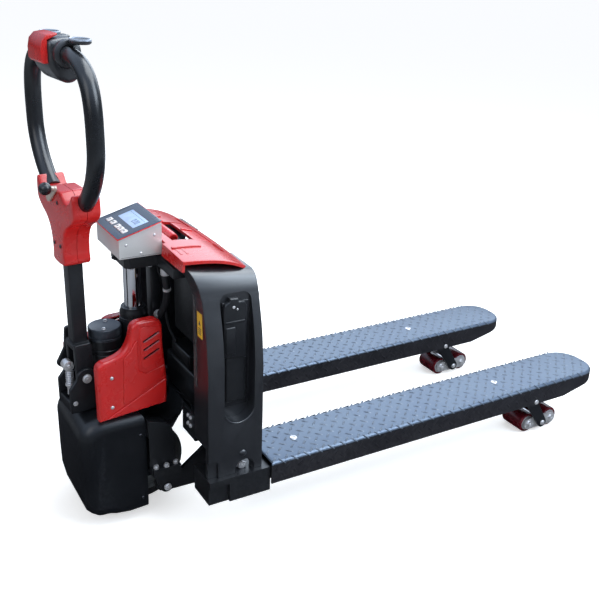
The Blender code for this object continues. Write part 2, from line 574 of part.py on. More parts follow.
def tilted_box(name, low, high):
    """A box whose low and high corners are (x, along, height) on the sloping face."""
    middle = [(a + b) / 2 for a, b in zip(low, high)]
    size = [b - a for a, b in zip(low, high)]
    bm = bmesh.new()
    place = Matrix.Translation(on_face(*middle)) @ Matrix.Rotation(FACE_TILT, 4, "X")
    bmesh.ops.create_cube(bm, size=1.0, matrix=place @ Matrix.Diagonal((*size, 1.0)))
    return from_bmesh(name, bm)


def build_indicator():
    depth = 0.1073
    front, back = on_face(0, 0, 0), on_face(0, depth, 0)
    section = [(front.y, 0.6803), (back.y, 0.6803), (back.y, back.z), (front.y, front.z)]
    case = add("indicator_box", slab_mesh("indicator_box", "x", [section], -0.0800, 0.0800), chassis, STAINLESS)
    room = [(front.y + 0.0015, 0.6820), (back.y - 0.0015, 0.6820), (back.y - 0.0015, 0.8000),
            (front.y + 0.0015, 0.8000)]
    cut(case, slab_mesh("room", "x", [room], -0.0785, 0.0785), chassis)
    face = add("indicator_face", tilted_box("indicator_face", (-0.0835, -0.0035, 0.0003),
               (0.0835, depth + 0.0035, 0.0033)), chassis, FACE_BLUE)
    cut(face, tilted_box("window", (-0.0500, 0.0460, -0.01), (0.0560, 0.0860, 0.01)), chassis)
    add("display_window", tilted_box("display_window", (-0.0497, 0.0463, 0.0004), (0.0557, 0.0857, 0.0030)),
        chassis, LCD)
    keys = (("power", -0.0480), ("zero", -0.0210), ("enter", 0.0090), ("next", 0.0310), ("up", 0.0530))
    for label, x in keys:
        name = f"key_{label}"
        button = Body(name + "_slide", on_face(x, 0.0250, 0.0033), chassis)
        piece = add(name, tilted_box(name, (x - 0.0085, 0.0175, 0.0016), (x + 0.0085, 0.0325, 0.0048)),
                    button, KEY_WHITE)
        rounded(piece, 0.0010, 1, 60)
        cut(face, tilted_box("key_hole", (x - 0.0088, 0.0172, -0.0050), (x + 0.0088, 0.0328, 0.0100)), chassis)


def build_hoses():
    cable = [(0.0240, -0.1740, 0.6415), (0.0260, -0.1730, 0.6180), (0.0360, -0.1680, 0.6040),
             (0.0460, -0.1700, 0.6040), (0.0540, -0.1740, 0.6200), (0.0560, -0.1740, 0.6415)]
    tube("signal_cable", smooth_route(cable, 0.010), 0.0025, chassis, HOSE, 2)
    hose = [(0.0720, -0.1740, 0.6412), (0.0720, -0.1738, 0.6150), (0.0700, -0.1700, 0.5850),
            (0.0600, -0.1700, 0.5500), (0.0440, -0.1780, 0.5140), (0.0280, -0.1790, 0.5090)]
    tube("pump_hose", smooth_route(hose, 0.016), 0.0085, chassis, HOSE, 2)


# ---- forks: beam, load cells and tread-plate deck -----------------------------------------------
def deck_outline(inset):
    half = FORK_WIDTH / 2 - inset
    start, end = 0.0045 - 5 * inset, FORK_LENGTH - inset
    corner = 0.068 - inset
    right = arc((half - corner, end - corner), corner, 0, 90, 6)
    left = [(-x, y) for x, y in reversed(right)]
    return [(half, start)] + right + left + [(-half, start)]


def build_fork(label, side):
    centre = FORK_X * side
    name = f"fork_deck_{label}"
    outline = [(centre + x, y) for x, y in deck_outline(0)]
    deck = add(name, slab_mesh(name, "z", [outline], FORK_TOP - SKIRT, FORK_TOP), chassis, DECK)
    rounded(deck, 0.004, 2, 60)
    inner = [(centre + x, y) for x, y in deck_outline(DECK_WALL)]
    cut(deck, slab_mesh("hollow", "z", [inner], 0.1000, FORK_TOP - DECK_WALL), chassis)
    low, high = centre - 0.10, centre + 0.10
    ramp = [(1.0020, 0.0900), (1.2000, 0.0900), (1.2000, 0.1640), (1.1240, 0.1470), (1.0020, 0.1195)]
    cut(deck, slab_mesh("ramp", "x", [ramp], low, high), chassis)

    name = f"fork_beam_{label}"
    section = [(-0.0695, 0.1300), (0.0695, 0.1300), (0.0695, 0.1660), (0.0645, 0.1660), (0.0645, 0.1355),
               (-0.0645, 0.1355), (-0.0645, 0.1660), (-0.0695, 0.1660)]
    beam = add(name, slab_mesh(name, "y", [[(centre + x, z) for x, z in section]], 0.0090, 1.0100), chassis,
               BLACK)
    low, high = sorted((0.1905 * side, 0.2830 * side))
    join(beam, box_mesh("foot", (low, -0.1580, 0.1000), (high, 0.0040, 0.1665)), chassis)
    low, high = sorted((0.1905 * side, 0.2800 * side))
    join(beam, box_mesh("heel", (low, -0.0100, 0.1305), (high, 0.0120, 0.1600)), chassis)
    low, high = sorted((0.2755 * side, 0.2900 * side))
    cut(beam, box_mesh("step", (low, -0.1700, 0.0800), (high, -0.1060, 0.1500)), chassis)
    low, high = sorted((0.1800 * side, 0.2500 * side))
    cut(beam, rod_mesh("shaft_room", (low, *ROCKER_PIN), (high, *ROCKER_PIN), 0.0123), chassis)
    cut(beam, box_mesh("roller_room", (centre - 0.0640, 0.8300, 0.1200), (centre + 0.0640, 1.0500, 0.1400)),
        chassis)
    pin = (centre - 0.0690, *ARM_PIN), (centre + 0.0690, *ARM_PIN)
    for inner in (-1, 1):
        cheek = [(0.8600, 0.1400), (0.8720, 0.1060), (0.9140, 0.1060), (0.9260, 0.1400)]
        low, high = sorted((centre + 0.0645 * inner, centre + 0.0695 * inner))
        join(beam, slab_mesh("cheek", "x", [cheek], low, high), chassis)
    join(beam, rod_mesh("arm_pin", *pin, 0.0090, sides=16), chassis)
    for number, y in enumerate(CELL_Y, 1):
        name = f"load_cell_{label}_{number}"
        away = 0.085 if number == 1 else -0.085
        low, high = sorted((y - 0.016 * (1 if away > 0 else -1), y + away))
        cell = add(name, box_mesh(name, (centre - 0.0160, low, 0.1358), (centre + 0.0160, high, 0.1640)),
                   chassis, STEEL)
        join(cell, rod_mesh("boss", (centre, y, 0.1600), (centre, y, 0.1757), 0.0110, sides=16), chassis)
        middle = (low + high) / 2
        gauge = link_outline((middle - 0.011, 0.1500), (middle + 0.011, 0.1500), 0.0075, 0.0075, 5)
        cut(cell, slab_mesh("gauge_hole", "x", [gauge], centre - 0.02, centre + 0.02), chassis)


def build_rocker():
    shaft = add("rocker", rod_mesh("rocker", (-0.1870, *ROCKER_PIN), (0.1870, *ROCKER_PIN), 0.0190), rocker,
                BLACK)
    join(shaft, rod_mesh("stub", (-0.2480, *ROCKER_PIN), (0.2480, *ROCKER_PIN), 0.0120, sides=16), rocker)
    heading = atan2(EAR_PIN[1] - ROCKER_PIN[1], EAR_PIN[0] - ROCKER_PIN[0])
    slot_end = (EAR_PIN[0] - 0.0215 * cos(heading), EAR_PIN[1] - 0.0215 * sin(heading))
    for _, side in SIDES:
        low, high = sorted((0.1175 * side, 0.1292 * side))
        blade = [(-0.0440, 0.1640)] + arc(ROCKER_PIN, 0.0260, -30, 100, 5)
        blade += [(-0.1200, 0.1560), (-0.1650, 0.1210), (-0.1900, 0.1185)] + arc(EAR_PIN, 0.0240, 110, 265, 6)
        blade += [(-0.1850, 0.0690), (-0.1300, 0.0680), (-0.0900, 0.0900)]
        slot = link_outline(EAR_PIN, slot_end, 0.0110, 0.0110, 6)
        join(shaft, slab_mesh("blade", "x", [blade, slot], low, high), rocker)
        low, high = sorted((0.1780 * side, 0.1868 * side))
        lower = (ROCKER_PIN[0], ROCKER_PIN[1] - CRANK)
        join(shaft, slab_mesh("crank", "x", [link_outline(ROCKER_PIN, lower, 0.022, 0.013)], low, high), rocker)


def build_push_rod(label, side):
    low, high = sorted(((ROD_X - 0.007) * side, (ROD_X + 0.007) * side))
    rear = (ROCKER_PIN[0], ROCKER_PIN[1] - CRANK)
    front = (ARM_PIN[0], ARM_PIN[1] + 0.030)
    outline = arc(rear, 0.013, 100, 270, 6) + [(-0.0200, 0.1145), (0.0000, 0.1370), (0.8600, 0.1410)]
    outline += arc(front, 0.0115, -80, 90, 5) + [(0.8800, 0.1600), (0.0100, 0.1560), (-0.0300, 0.1500)]
    name = f"push_rod_{label}"
    add(name, slab_mesh(name, "x", [outline], low, high), rods, BLACK)


def build_roller_group(label, side):
    centre = FORK_X * side
    arm = Body(f"arm_{label}", on_x_axis(ARM_PIN, centre), chassis)
    name = f"roller_arm_{label}"
    plate = link_outline(ARM_PIN, BOGIE_PIN, 0.0200, 0.0155)
    piece = add(name, slab_mesh(name, "x", [plate], centre + 0.0500, centre + 0.0585), arm, BLACK)
    join(piece, slab_mesh("far_plate", "x", [plate], centre - 0.0585, centre - 0.0500), arm)
    join(piece, rod_mesh("sleeve", (centre - 0.0520, *ARM_PIN), (centre + 0.0520, *ARM_PIN), 0.0140), arm)
    tip = (ARM_PIN[0], ARM_PIN[1] + 0.030)
    low, high = sorted((centre - 0.0200 * side, centre - 0.0290 * side))
    join(piece, slab_mesh("lug", "x", [link_outline(ARM_PIN, tip, 0.0165, 0.0110)], low, high), arm)
    cut(piece, rod_mesh("pin_hole", (centre - 0.07, *ARM_PIN), (centre + 0.07, *ARM_PIN), 0.0093, sides=16), arm)
    pin = (centre - 0.0640, *BOGIE_PIN), (centre + 0.0640, *BOGIE_PIN)
    join(piece, rod_mesh("bogie_pin", *pin, 0.0080, sides=16), arm)

    bogie = Body(f"bogie_{label}", on_x_axis(BOGIE_PIN, centre), arm)
    ends = [(BOGIE_PIN[0] - AXLE_PITCH / 2, BOGIE_PIN[1]), (BOGIE_PIN[0] + AXLE_PITCH / 2, BOGIE_PIN[1])]
    name = f"bogie_{label}"
    hole = circle(BOGIE_PIN, 0.0084, 16)
    plate = link_outline(*ends, 0.0180, 0.0180)
    piece = add(name + "_link", slab_mesh(name, "x", [plate, hole], centre + 0.0410, centre + 0.0480), bogie,
                STEEL)
    join(piece, slab_mesh("far_plate", "x", [plate, hole], centre - 0.0480, centre - 0.0410), bogie)
    for end, word in zip(ends, ("rear", "front")):
        join(piece, rod_mesh("axle", (centre - 0.0490, *end), (centre + 0.0490, *end), 0.0085, sides=16), bogie)
        spin = Body(f"spin_{word}_{label}", on_x_axis(end, centre), bogie)
        face = ROLLER_R - 0.0060
        tread = [(0.0088, -0.0400), (face, -0.0400), (ROLLER_R, -0.0370), (ROLLER_R, 0.0370), (face, 0.0400),
                 (0.0088, 0.0400)]
        name = f"load_roller_{word}_{label}"
        add(name, turned_mesh(name, tread, (centre, *end), "x", 20), spin, ROLLER_RED)


build_yoke()
build_wheel_cover()
build_drive()
build_tiller_base()
build_wheel()
build_tiller()
build_body_shell()
build_frame()
build_battery()
build_lift()
build_indicator()
build_hoses()
build_rocker()
for fork_label, fork_side in SIDES:
    build_fork(fork_label, fork_side)
    build_push_rod(fork_label, fork_side)
    build_roller_group(fork_label, fork_side)
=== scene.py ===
"""Finish and fine shapes of the pallet truck with a built-in scale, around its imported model.

Lengths are metres.  Pieces are drawn in truck coordinates, whose Y starts at the fork heel: TRUCK
carries them to the model's frame, and DRIVE also turns them with the tiller and the drive unit.
"""
import json
from math import atan2, cos, hypot, pi, radians, sin, tau
import bmesh
import bpy
from mathutils import Matrix, Vector


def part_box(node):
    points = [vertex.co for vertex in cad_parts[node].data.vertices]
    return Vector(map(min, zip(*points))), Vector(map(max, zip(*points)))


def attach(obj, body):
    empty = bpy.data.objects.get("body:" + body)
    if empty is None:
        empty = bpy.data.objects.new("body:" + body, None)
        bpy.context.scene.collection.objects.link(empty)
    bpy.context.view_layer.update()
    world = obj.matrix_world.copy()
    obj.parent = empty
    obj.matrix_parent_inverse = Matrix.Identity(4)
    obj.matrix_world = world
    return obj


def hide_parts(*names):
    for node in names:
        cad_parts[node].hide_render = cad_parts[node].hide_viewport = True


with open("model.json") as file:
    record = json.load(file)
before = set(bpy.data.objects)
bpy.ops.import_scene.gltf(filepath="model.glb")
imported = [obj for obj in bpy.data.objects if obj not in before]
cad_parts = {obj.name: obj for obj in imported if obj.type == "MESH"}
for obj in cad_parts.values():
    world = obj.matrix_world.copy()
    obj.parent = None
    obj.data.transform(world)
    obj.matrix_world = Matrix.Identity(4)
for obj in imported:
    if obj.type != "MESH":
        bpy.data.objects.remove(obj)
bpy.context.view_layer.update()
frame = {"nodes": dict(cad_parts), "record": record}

# ---- driving dimensions -------------------------------------------------------------------------
SIDES = (("right", 1), ("left", -1))
FORK_LENGTH = 1.15
FORK_WIDTH = 0.158
FORK_X = 0.211
FORK_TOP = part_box("fork_deck_right")[1][2]
HEEL_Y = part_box("fork_deck_right")[1][1] - FORK_LENGTH
SKIRT = 0.06
DECK_WALL = 0.004
CELL_Y = (0.109, 0.789)
STEER_Y = -0.23
STEER_TURN = radians(5.0)
WHEEL_Z = 0.105
EAR_PIN = (-0.2125, 0.0945)
ROCKER_PIN = (-0.06, 0.175)
ARM_PIN = (0.893, 0.122)
BOGIE_PIN = (0.955, 0.03)
AXLE_PITCH = 0.088
TILLER_Y = -0.373
TILLER_PIN_Z = 0.388
LOOP_X = 0.177
LOOP_Z = 0.962
LOOP_RISE = 0.168
LOOP_R = 0.0185
BODY_X = 0.27
TOWER_IN = 0.19
BODY_FRONT = -0.155
BODY_BACK = -0.014
FACE_TILT = atan2(0.03, 0.103)
FACE_FRONT = (-0.285, 0.7275)
FACE_DEPTH = 0.1073

TRUCK = Matrix.Translation((0, HEEL_Y, 0))
PIVOT = Matrix.Translation((0, STEER_Y, 0))
DRIVE = TRUCK @ PIVOT @ Matrix.Rotation(STEER_TURN, 4, "Z") @ PIVOT.inverted()
STEERED = {"drive", "drive_wheel", "tiller", "throttle", "belly_switch", "horn", "lever", "plunger", "pedal"}


# ---- shader groups ------------------------------------------------------------------------------
def new_group(name, inputs, outputs):
    group = bpy.data.node_groups.new(name, "ShaderNodeTree")
    for label, kind, value in inputs:
        socket = group.interface.new_socket(label, in_out="INPUT", socket_type=kind)
        if value is not None:
            socket.default_value = value
    for label, kind in outputs:
        group.interface.new_socket(label, in_out="OUTPUT", socket_type=kind)
    return group, group.nodes.new("NodeGroupInput"), group.nodes.new("NodeGroupOutput")


def noise(tree, vector, scale, detail=3.0, roughness=0.55):
    node = tree.nodes.new("ShaderNodeTexNoise")
    node.inputs["Detail"].default_value = detail
    node.inputs["Roughness"].default_value = roughness
    if isinstance(scale, (int, float)):
        node.inputs["Scale"].default_value = scale
    else:
        tree.links.new(scale, node.inputs["Scale"])
    tree.links.new(vector, node.inputs["Vector"])
    return node.outputs["Fac"]


def spread(tree, value, low, high, out_low=0.0, out_high=1.0):
    node = tree.nodes.new("ShaderNodeMapRange")
    for label, number in (("From Min", low), ("From Max", high), ("To Min", out_low), ("To Max", out_high)):
        node.inputs[label].default_value = number
    tree.links.new(value, node.inputs["Value"])
    return node.outputs["Result"]


def times(tree, a, b, operation="MULTIPLY"):
    node = tree.nodes.new("ShaderNodeMath")
    node.operation = operation
    for socket, value in zip(node.inputs, (a, b)):
        if isinstance(value, (int, float)):
            socket.default_value = value
        else:
            tree.links.new(value, socket)
    return node.outputs[0]


def make_grain_group():
    """A fine moulded or sprayed surface: raised grain with a slower waviness under it."""
    group, inlet, outlet = new_group("surface_grain", (("Scale", "NodeSocketFloat", 900.0),
                                     ("Strength", "NodeSocketFloat", 0.1)),
                                     (("Normal", "NodeSocketVector"), ("Height", "NodeSocketFloat")))
    place = group.nodes.new("ShaderNodeTexCoord").outputs["Object"]
    fine = noise(group, place, inlet.outputs["Scale"], 2.0)
    slow = noise(group, place, 22.0, 2.0)
    height = times(group, fine, times(group, slow, 1.6), "ADD")
    bump = group.nodes.new("ShaderNodeBump")
    bump.inputs["Distance"].default_value = 0.0004
    group.links.new(inlet.outputs["Strength"], bump.inputs["Strength"])
    group.links.new(height, bump.inputs["Height"])
    group.links.new(bump.outputs["Normal"], outlet.inputs["Normal"])
    group.links.new(height, outlet.inputs["Height"])
    return group


def make_wear_group():
    """Where edges have rubbed bright, broken up by noise, and a patchy film of dust and handling."""
    group, inlet, outlet = new_group("edge_wear", (("Amount", "NodeSocketFloat", 0.5),),
                                     (("Edges", "NodeSocketFloat"), ("Patches", "NodeSocketFloat")))
    geometry = group.nodes.new("ShaderNodeNewGeometry")
    place = group.nodes.new("ShaderNodeTexCoord").outputs["Object"]
    ridge = spread(group, geometry.outputs["Pointiness"], 0.53, 0.62)
    broken = spread(group, noise(group, place, 120.0, 5.0, 0.7), 0.42, 0.62)
    edges = times(group, times(group, ridge, broken), inlet.outputs["Amount"])
    patches = spread(group, noise(group, place, 9.0, 6.0, 0.65), 0.35, 0.72)
    group.links.new(edges, outlet.inputs["Edges"])
    group.links.new(patches, outlet.inputs["Patches"])
    return group


def make_scratch_group():
    """Fine brush lines along one axis, as on ground or drawn metal."""
    group, inlet, outlet = new_group("brush_lines", (("Stretch", "NodeSocketVector", (4.0, 600.0, 600.0)),
                                     ("Strength", "NodeSocketFloat", 0.15)),
                                     (("Lines", "NodeSocketFloat"), ("Normal", "NodeSocketVector")))
    place = group.nodes.new("ShaderNodeTexCoord").outputs["Object"]
    scaled = group.nodes.new("ShaderNodeVectorMath")
    scaled.operation = "MULTIPLY"
    group.links.new(place, scaled.inputs[0])
    group.links.new(inlet.outputs["Stretch"], scaled.inputs[1])
    lines = noise(group, scaled.outputs["Vector"], 1.0, 3.0)
    bump = group.nodes.new("ShaderNodeBump")
    bump.inputs["Distance"].default_value = 0.0002
    group.links.new(inlet.outputs["Strength"], bump.inputs["Strength"])
    group.links.new(lines, bump.inputs["Height"])
    group.links.new(lines, outlet.inputs["Lines"])
    group.links.new(bump.outputs["Normal"], outlet.inputs["Normal"])
    return group


GRAIN = make_grain_group()
WEAR = make_wear_group()
BRUSH = make_scratch_group()


# ---- materials ----------------------------------------------------------------------------------
def place_group(tree, group, **values):
    node = tree.nodes.new("ShaderNodeGroup")
    node.node_tree = group
    for label, value in values.items():
        node.inputs[label].default_value = value
    return node


def blend_colours(tree, mask, low, high):
    node = tree.nodes.new("ShaderNodeMix")
    node.data_type = "RGBA"
    tree.links.new(mask, node.inputs["Factor"])
    for label, colour in (("A", low), ("B", high)):
        socket = [s for s in node.inputs if s.name == label and s.type == "RGBA"][0]
        if isinstance(colour, tuple):
            socket.default_value = (*colour, 1.0)
        else:
            tree.links.new(colour, socket)
    return [s for s in node.outputs if s.type == "RGBA"][0]


def new_material(name):
    mat = bpy.data.materials.new(name)
    mat.use_nodes = True
    return mat, mat.node_tree, mat.node_tree.nodes["Principled BSDF"]


def surface(name, colour, aged, rough, rough_spread=0.08, metallic=0.0, grain=(900.0, 0.1), wear=0.4,
            bare=(0.3, 0.3, 0.31), coat=0.0, coat_rough=0.1, ior=1.5):
    """A painted, moulded or cast finish: two tones, uneven gloss, grain and rubbed edges."""
    mat, tree, shader = new_material(name)
    aging = place_group(tree, WEAR, Amount=wear)
    grained = place_group(tree, GRAIN, Scale=grain[0], Strength=grain[1])
    tone = blend_colours(tree, aging.outputs["Patches"], colour, aged)
    tone = blend_colours(tree, aging.outputs["Edges"], tone, bare)
    gloss = spread(tree, aging.outputs["Patches"], 0.0, 1.0, rough - rough_spread / 2, rough + rough_spread / 2)
    tree.links.new(tone, shader.inputs["Base Color"])
    tree.links.new(gloss, shader.inputs["Roughness"])
    tree.links.new(grained.outputs["Normal"], shader.inputs["Normal"])
    shader.inputs["Metallic"].default_value = metallic
    shader.inputs["Coat Weight"].default_value = coat
    shader.inputs["Coat Roughness"].default_value = coat_rough
    shader.inputs["IOR"].default_value = ior
    return mat


def brushed(name, colour, dull, rough, stretch, strength=0.15, rough_spread=0.12, metallic=1.0):
    """Bare metal with brush lines."""
    mat, tree, shader = new_material(name)
    lined = place_group(tree, BRUSH, Stretch=stretch, Strength=strength)
    aging = place_group(tree, WEAR, Amount=0.2)
    tone = blend_colours(tree, lined.outputs["Lines"], dull, colour)
    gloss = spread(tree, aging.outputs["Patches"], 0.0, 1.0, rough - rough_spread / 2, rough + rough_spread / 2)
    tree.links.new(tone, shader.inputs["Base Color"])
    tree.links.new(gloss, shader.inputs["Roughness"])
    tree.links.new(lined.outputs["Normal"], shader.inputs["Normal"])
    shader.inputs["Metallic"].default_value = metallic
    return mat


def lit_display(name):
    """A pale blue liquid crystal, its tone varied by noise, lit from behind."""
    mat, tree, shader = new_material(name)
    place = tree.nodes.new("ShaderNodeTexCoord").outputs["Object"]
    glow = spread(tree, noise(tree, place, 30.0, 2.0), 0.3, 0.7)
    tone = blend_colours(tree, glow, (0.3, 0.42, 0.66), (0.42, 0.56, 0.8))
    tree.links.new(tone, shader.inputs["Base Color"])
    tree.links.new(tone, shader.inputs["Emission Color"])
    shader.inputs["Emission Strength"].default_value = 0.25
    shader.inputs["Roughness"].default_value = 0.12
    return mat


BLACK_PAINT = surface("black_paint", (0.007, 0.008, 0.0105), (0.012, 0.0135, 0.0165), 0.34, 0.08, wear=0.12,
                      grain=(900.0, 0.08), bare=(0.07, 0.07, 0.075))
BODY_PLASTIC = surface("body_plastic", (0.008, 0.0095, 0.013), (0.012, 0.014, 0.0185), 0.38, 0.06, wear=0.2,
                       grain=(1500.0, 0.14), bare=(0.05, 0.055, 0.065), coat=0.6, coat_rough=0.3, ior=1.75)
GUARD_PLASTIC = surface("guard_plastic", (0.0045, 0.0055, 0.008), (0.008, 0.0095, 0.0125), 0.34, 0.06, wear=0.2,
                        grain=(1500.0, 0.12), bare=(0.05, 0.055, 0.065))
RED_PLASTIC = surface("red_plastic", (0.5, 0.01, 0.009), (0.42, 0.008, 0.008), 0.28, 0.06, wear=0.25,
                      grain=(1100.0, 0.07), bare=(0.7, 0.1, 0.08), coat=0.35, coat_rough=0.18)
# The deck plate's finish comes in two copies, lit and shaded. This bluish one is for its upward faces: its blue tone
# is painted sky reflection over dark paint.
DECK_PAINT_AND_SKY_REFLECTION = surface("deck_paint", (0.085, 0.115, 0.165), (0.12, 0.155, 0.205), 0.36, 0.1, metallic=0.6,
                     wear=0.35, grain=(900.0, 0.08), bare=(0.34, 0.38, 0.45))
# The near-black copy of the deck plate's finish, for its side faces: painted shade.
SKIRT_PAINT_AND_SHADE = surface("skirt_paint_and_shade", (0.0085, 0.0085, 0.0115), (0.016, 0.0155, 0.02), 0.38, 0.1, wear=0.15,
                      grain=(700.0, 0.1), bare=(0.08, 0.08, 0.085))
# Tread lugs darker than the deck, so that they read as dark streaks: painted shade for their shaded slopes. Their
# bright rubbed edges are wear.
LUG_PAINT_AND_SHADE = surface("lug_paint_and_shade", (0.05, 0.068, 0.1), (0.09, 0.115, 0.15), 0.34, 0.1, metallic=0.45, wear=0.7,
                    grain=(700.0, 0.1), bare=(0.3, 0.34, 0.4))
RUBBER = surface("handle_rubber", (0.006, 0.0075, 0.01), (0.01, 0.012, 0.015), 0.3, 0.08, wear=0.1,
                 grain=(1800.0, 0.12), bare=(0.03, 0.03, 0.035), coat=0.3, coat_rough=0.22)
HOSE_RUBBER = surface("hose_rubber", (0.008, 0.008, 0.01), (0.015, 0.015, 0.018), 0.48, 0.1, wear=0.1,
                      grain=(1400.0, 0.3))
ROLLER_PU = surface("roller_polyurethane", (0.07, 0.002, 0.006), (0.1, 0.004, 0.009), 0.26, 0.1, wear=0.2,
                    grain=(500.0, 0.12), bare=(0.12, 0.01, 0.014), coat=0.3, coat_rough=0.15)
TYRE_RUBBER = surface("tyre_rubber", (0.014, 0.015, 0.017), (0.034, 0.035, 0.037), 0.62, 0.14, wear=0.3,
                      grain=(700.0, 0.35), bare=(0.07, 0.07, 0.072))
HUB_CASTING = surface("hub_casting", (0.2, 0.215, 0.225), (0.3, 0.315, 0.325), 0.46, 0.14, metallic=0.75, wear=0.6,
                      grain=(420.0, 0.35), bare=(0.55, 0.56, 0.57))
FACE_FILM = surface("face_film", (0.028, 0.042, 0.072), (0.036, 0.052, 0.086), 0.2, 0.06, wear=0.0,
                    grain=(2400.0, 0.05), coat=0.5, coat_rough=0.08)
FACE_EDGE = surface("face_edge", (0.62, 0.02, 0.018), (0.55, 0.016, 0.016), 0.35, wear=0.0, grain=(900.0, 0.05))
KEY_WHITE = surface("key_white", (0.78, 0.79, 0.8), (0.7, 0.71, 0.73), 0.38, wear=0.0, grain=(1600.0, 0.05))
KEY_MARK = surface("key_mark", (0.03, 0.035, 0.05), (0.05, 0.05, 0.07), 0.5, wear=0.0, grain=(900.0, 0.05))
LABEL_YELLOW = surface("label_yellow", (0.72, 0.42, 0.02), (0.64, 0.36, 0.02), 0.42, wear=0.1, grain=(900.0, 0.05))
GREY_STRIP = surface("grey_strip", (0.026, 0.027, 0.029), (0.04, 0.041, 0.043), 0.5, wear=0.2, grain=(900.0, 0.2))
BATTERY_RED = surface("battery_red", (0.56, 0.01, 0.012), (0.48, 0.009, 0.01), 0.3, 0.06, wear=0.2,
                      grain=(1100.0, 0.07), coat=0.35, coat_rough=0.18)
LEVER_PLATE = surface("lever_plate", (0.52, 0.44, 0.38), (0.44, 0.37, 0.32), 0.4, metallic=0.4, wear=0.3,
                      grain=(900.0, 0.1))
LCD = lit_display("lcd_window")
LCD_DARK = surface("lcd_segments", (0.02, 0.03, 0.06), (0.025, 0.035, 0.065), 0.2, wear=0.0, grain=(900.0, 0.02))
CHROME = brushed("chrome", (0.86, 0.86, 0.88), (0.78, 0.78, 0.8), 0.07, (900.0, 900.0, 12.0), 0.02, 0.04)
ZINC = brushed("zinc_steel", (0.72, 0.72, 0.74), (0.52, 0.52, 0.54), 0.3, (300.0, 300.0, 300.0), 0.1,
               metallic=0.6)
STAINLESS = brushed("stainless_sheet", (0.78, 0.78, 0.78), (0.68, 0.68, 0.68), 0.34, (8.0, 500.0, 700.0), 0.1,
                    metallic=0.55)
DARK_STEEL = brushed("blackened_steel", (0.16, 0.16, 0.17), (0.07, 0.07, 0.075), 0.38, (200.0, 200.0, 200.0), 0.15)


# ---- stage --------------------------------------------------------------------------------------
MOTOR_LID_PAINT = surface("motor_lid_paint", (0.03, 0.038, 0.052), (0.045, 0.055, 0.072), 0.34, 0.1, metallic=0.4,
                   wear=0.4, grain=(500.0, 0.2), bare=(0.25, 0.26, 0.28))
PADDLE_RIM = surface("paddle_rim", (0.34, 0.4, 0.5), (0.28, 0.33, 0.42), 0.3, 0.1, metallic=0.3, wear=0.2,
                     grain=(1200.0, 0.08), bare=(0.5, 0.5, 0.52))

# The finish of each slot that the imported model names.
CAD_FINISH = {"black_paint": BLACK_PAINT, "body_plastic": BODY_PLASTIC, "red_plastic": RED_PLASTIC,
              "deck_paint": DECK_PAINT_AND_SKY_REFLECTION, "chrome": CHROME, "zinc_steel": ZINC, "stainless": STAINLESS,
              "roller_pu": ROLLER_PU, "tyre": TYRE_RUBBER, "hub_casting": HUB_CASTING, "face_film": FACE_FILM,
              "lcd": LCD, "key_white": KEY_WHITE, "rubber": RUBBER}


def plain(name, colour, roughness):
    mat = bpy.data.materials.new(name)
    mat.use_nodes = True
    shader = mat.node_tree.nodes["Principled BSDF"]
    shader.inputs["Base Color"].default_value = (*colour, 1.0)
    shader.inputs["Roughness"].default_value = roughness
    return mat


def floor_finish():
    """Pale and a little self-lit to the eye, but a dark floor in the truck's own reflections."""
    mat = plain("pale_floor", (0.92, 0.92, 0.92), 0.9)
    tree = mat.node_tree
    shader = tree.nodes["Principled BSDF"]
    ray = tree.nodes.new("ShaderNodeLightPath")
    away = tree.nodes.new("ShaderNodeVectorMath")
    away.operation = "LENGTH"
    tree.links.new(tree.nodes.new("ShaderNodeTexCoord").outputs["Object"], away.inputs[0])
    mirrored_floor = blend_colours(tree, spread(tree, away.outputs["Value"], 1.2, 2.0), (0.03, 0.03, 0.035),
                                   (0.3, 0.31, 0.33))
    tree.links.new(blend_colours(tree, ray.outputs["Is Glossy Ray"], (0.92, 0.92, 0.92), mirrored_floor),
                   shader.inputs["Base Color"])
    tree.links.new(blend_colours(tree, ray.outputs["Is Camera Ray"], (0.0, 0.0, 0.0), (0.55, 0.55, 0.55)),
                   shader.inputs["Emission Color"])
    shader.inputs["Emission Strength"].default_value = 1.0
    shader.inputs["Specular IOR Level"].default_value = 0.0
    return mat


def build_stage():
    bm = bmesh.new()
    bmesh.ops.create_grid(bm, x_segments=1, y_segments=1, size=30.0)
    mesh = bpy.data.meshes.new("floor")
    bm.to_mesh(mesh)
    bm.free()
    mesh.materials.append(floor_finish())
    floor = bpy.data.objects.new("floor", mesh)
    bpy.context.scene.collection.objects.link(floor)


def soft_light(name, place, aim, size, watts, colour):
    data = bpy.data.lights.new(name, "AREA")
    data.shape = "RECTANGLE"
    data.size, data.size_y = size
    data.energy = watts
    data.color = colour
    lamp = bpy.data.objects.new(name, data)
    lamp.location = place
    lamp.rotation_euler = (Vector(aim) - Vector(place)).to_track_quat("-Z", "Y").to_euler()
    lamp.visible_camera = False
    bpy.context.scene.collection.objects.link(lamp)


